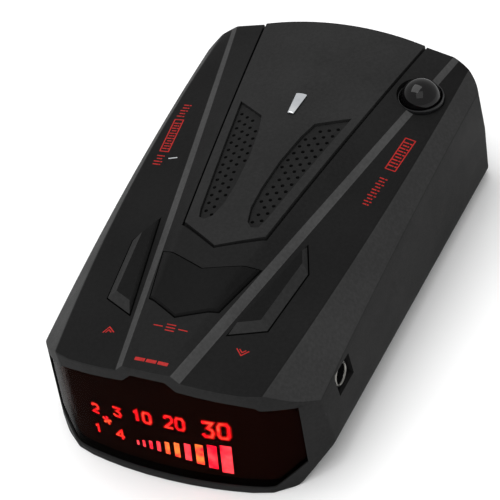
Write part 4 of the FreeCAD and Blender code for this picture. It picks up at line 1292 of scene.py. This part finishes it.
def floor_sheet(half=1.5, count=41):
    """Pale flat floor, wide enough that the camera sees no edge of it."""
    g = np.linspace(-half, half, count)
    x, y = np.meshgrid(g, g)
    points = np.stack([x, y, 0.0 * x - 0.00002], -1).reshape(-1, 3)
    mesh = bpy.data.meshes.new("floor")
    mesh.from_pydata(points.tolist(), [], lattice_quads(count, count).tolist())
    obj = bpy.data.objects.new("floor", mesh)
    SCENE.collection.objects.link(obj)
    mat, tree, shader, place = blank("white_studio_paper")
    drift = remap(tree, noise(tree, place, 60.0), 0.0, 1.0)
    tree.links.new(mixed(tree, drift, "#f6f6f6", "#fafafa"), shader.inputs["Base Color"])
    shader.inputs["Roughness"].default_value = 0.9
    shader.inputs["Specular IOR Level"].default_value = 0.1
    mesh.materials.append(mat)


def soft_light(name, azimuth, elevation, distance, width, height, power):
    """Rectangular soft light that faces the object."""
    a, e = math.radians(azimuth), math.radians(elevation)
    at = Vector((math.sin(a) * math.cos(e), -math.cos(a) * math.cos(e), math.sin(e))) * distance
    data = bpy.data.lights.new(name, "AREA")
    data.shape = "RECTANGLE"
    data.size, data.size_y, data.energy = width, height, power
    lamp = bpy.data.objects.new(name, data)
    lamp.visible_transmission = False
    lamp.matrix_world = Matrix.Translation(at) @ at.to_track_quat("Z", "Y").to_matrix().to_4x4()
    SCENE.collection.objects.link(lamp)


floor_sheet()
soft_light("key_softbox", 255.0, 72.0, 0.9, 0.7, 0.7, 4.7)
soft_light("front_softbox", 20.0, 60.0, 1.1, 0.75, 0.75, 2.0)
world = bpy.data.worlds.new("studio")
world.use_nodes = True
world.node_tree.nodes["Background"].inputs["Color"].default_value = (1.0, 1.0, 1.0, 1.0)
world.node_tree.nodes["Background"].inputs["Strength"].default_value = 0.76
SCENE.world = world
SCENE.view_settings.view_transform = "Standard"

az, el, roll = (math.radians(v) for v in (AZIMUTH, ELEVATION, ROLL))
back = Vector((math.sin(az) * math.cos(el), -math.cos(az) * math.cos(el), math.sin(el)))
right = Vector((math.cos(az), math.sin(az), 0.0))
up = back.cross(right)
turned_right = right * math.cos(roll) + up * math.sin(roll)
turned_up = up * math.cos(roll) - right * math.sin(roll)
lens = bpy.data.cameras.new("camera")
lens.sensor_width = SENSOR
lens.lens = SENSOR * LENS_RATIO
lens.shift_x, lens.shift_y = SHIFT
camera = bpy.data.objects.new("camera", lens)
frame_axes = Matrix((turned_right, turned_up, back)).transposed().to_4x4()
camera.matrix_world = Matrix.Translation(Vector(AIM) + back * DISTANCE) @ frame_axes
SCENE.collection.objects.link(camera)
SCENE.camera = camera


# %% [markdown]
# The dependency graph is brought up to date once more, after all the pieces are made.

# %% last update
bpy.context.evaluated_depsgraph_get().update()
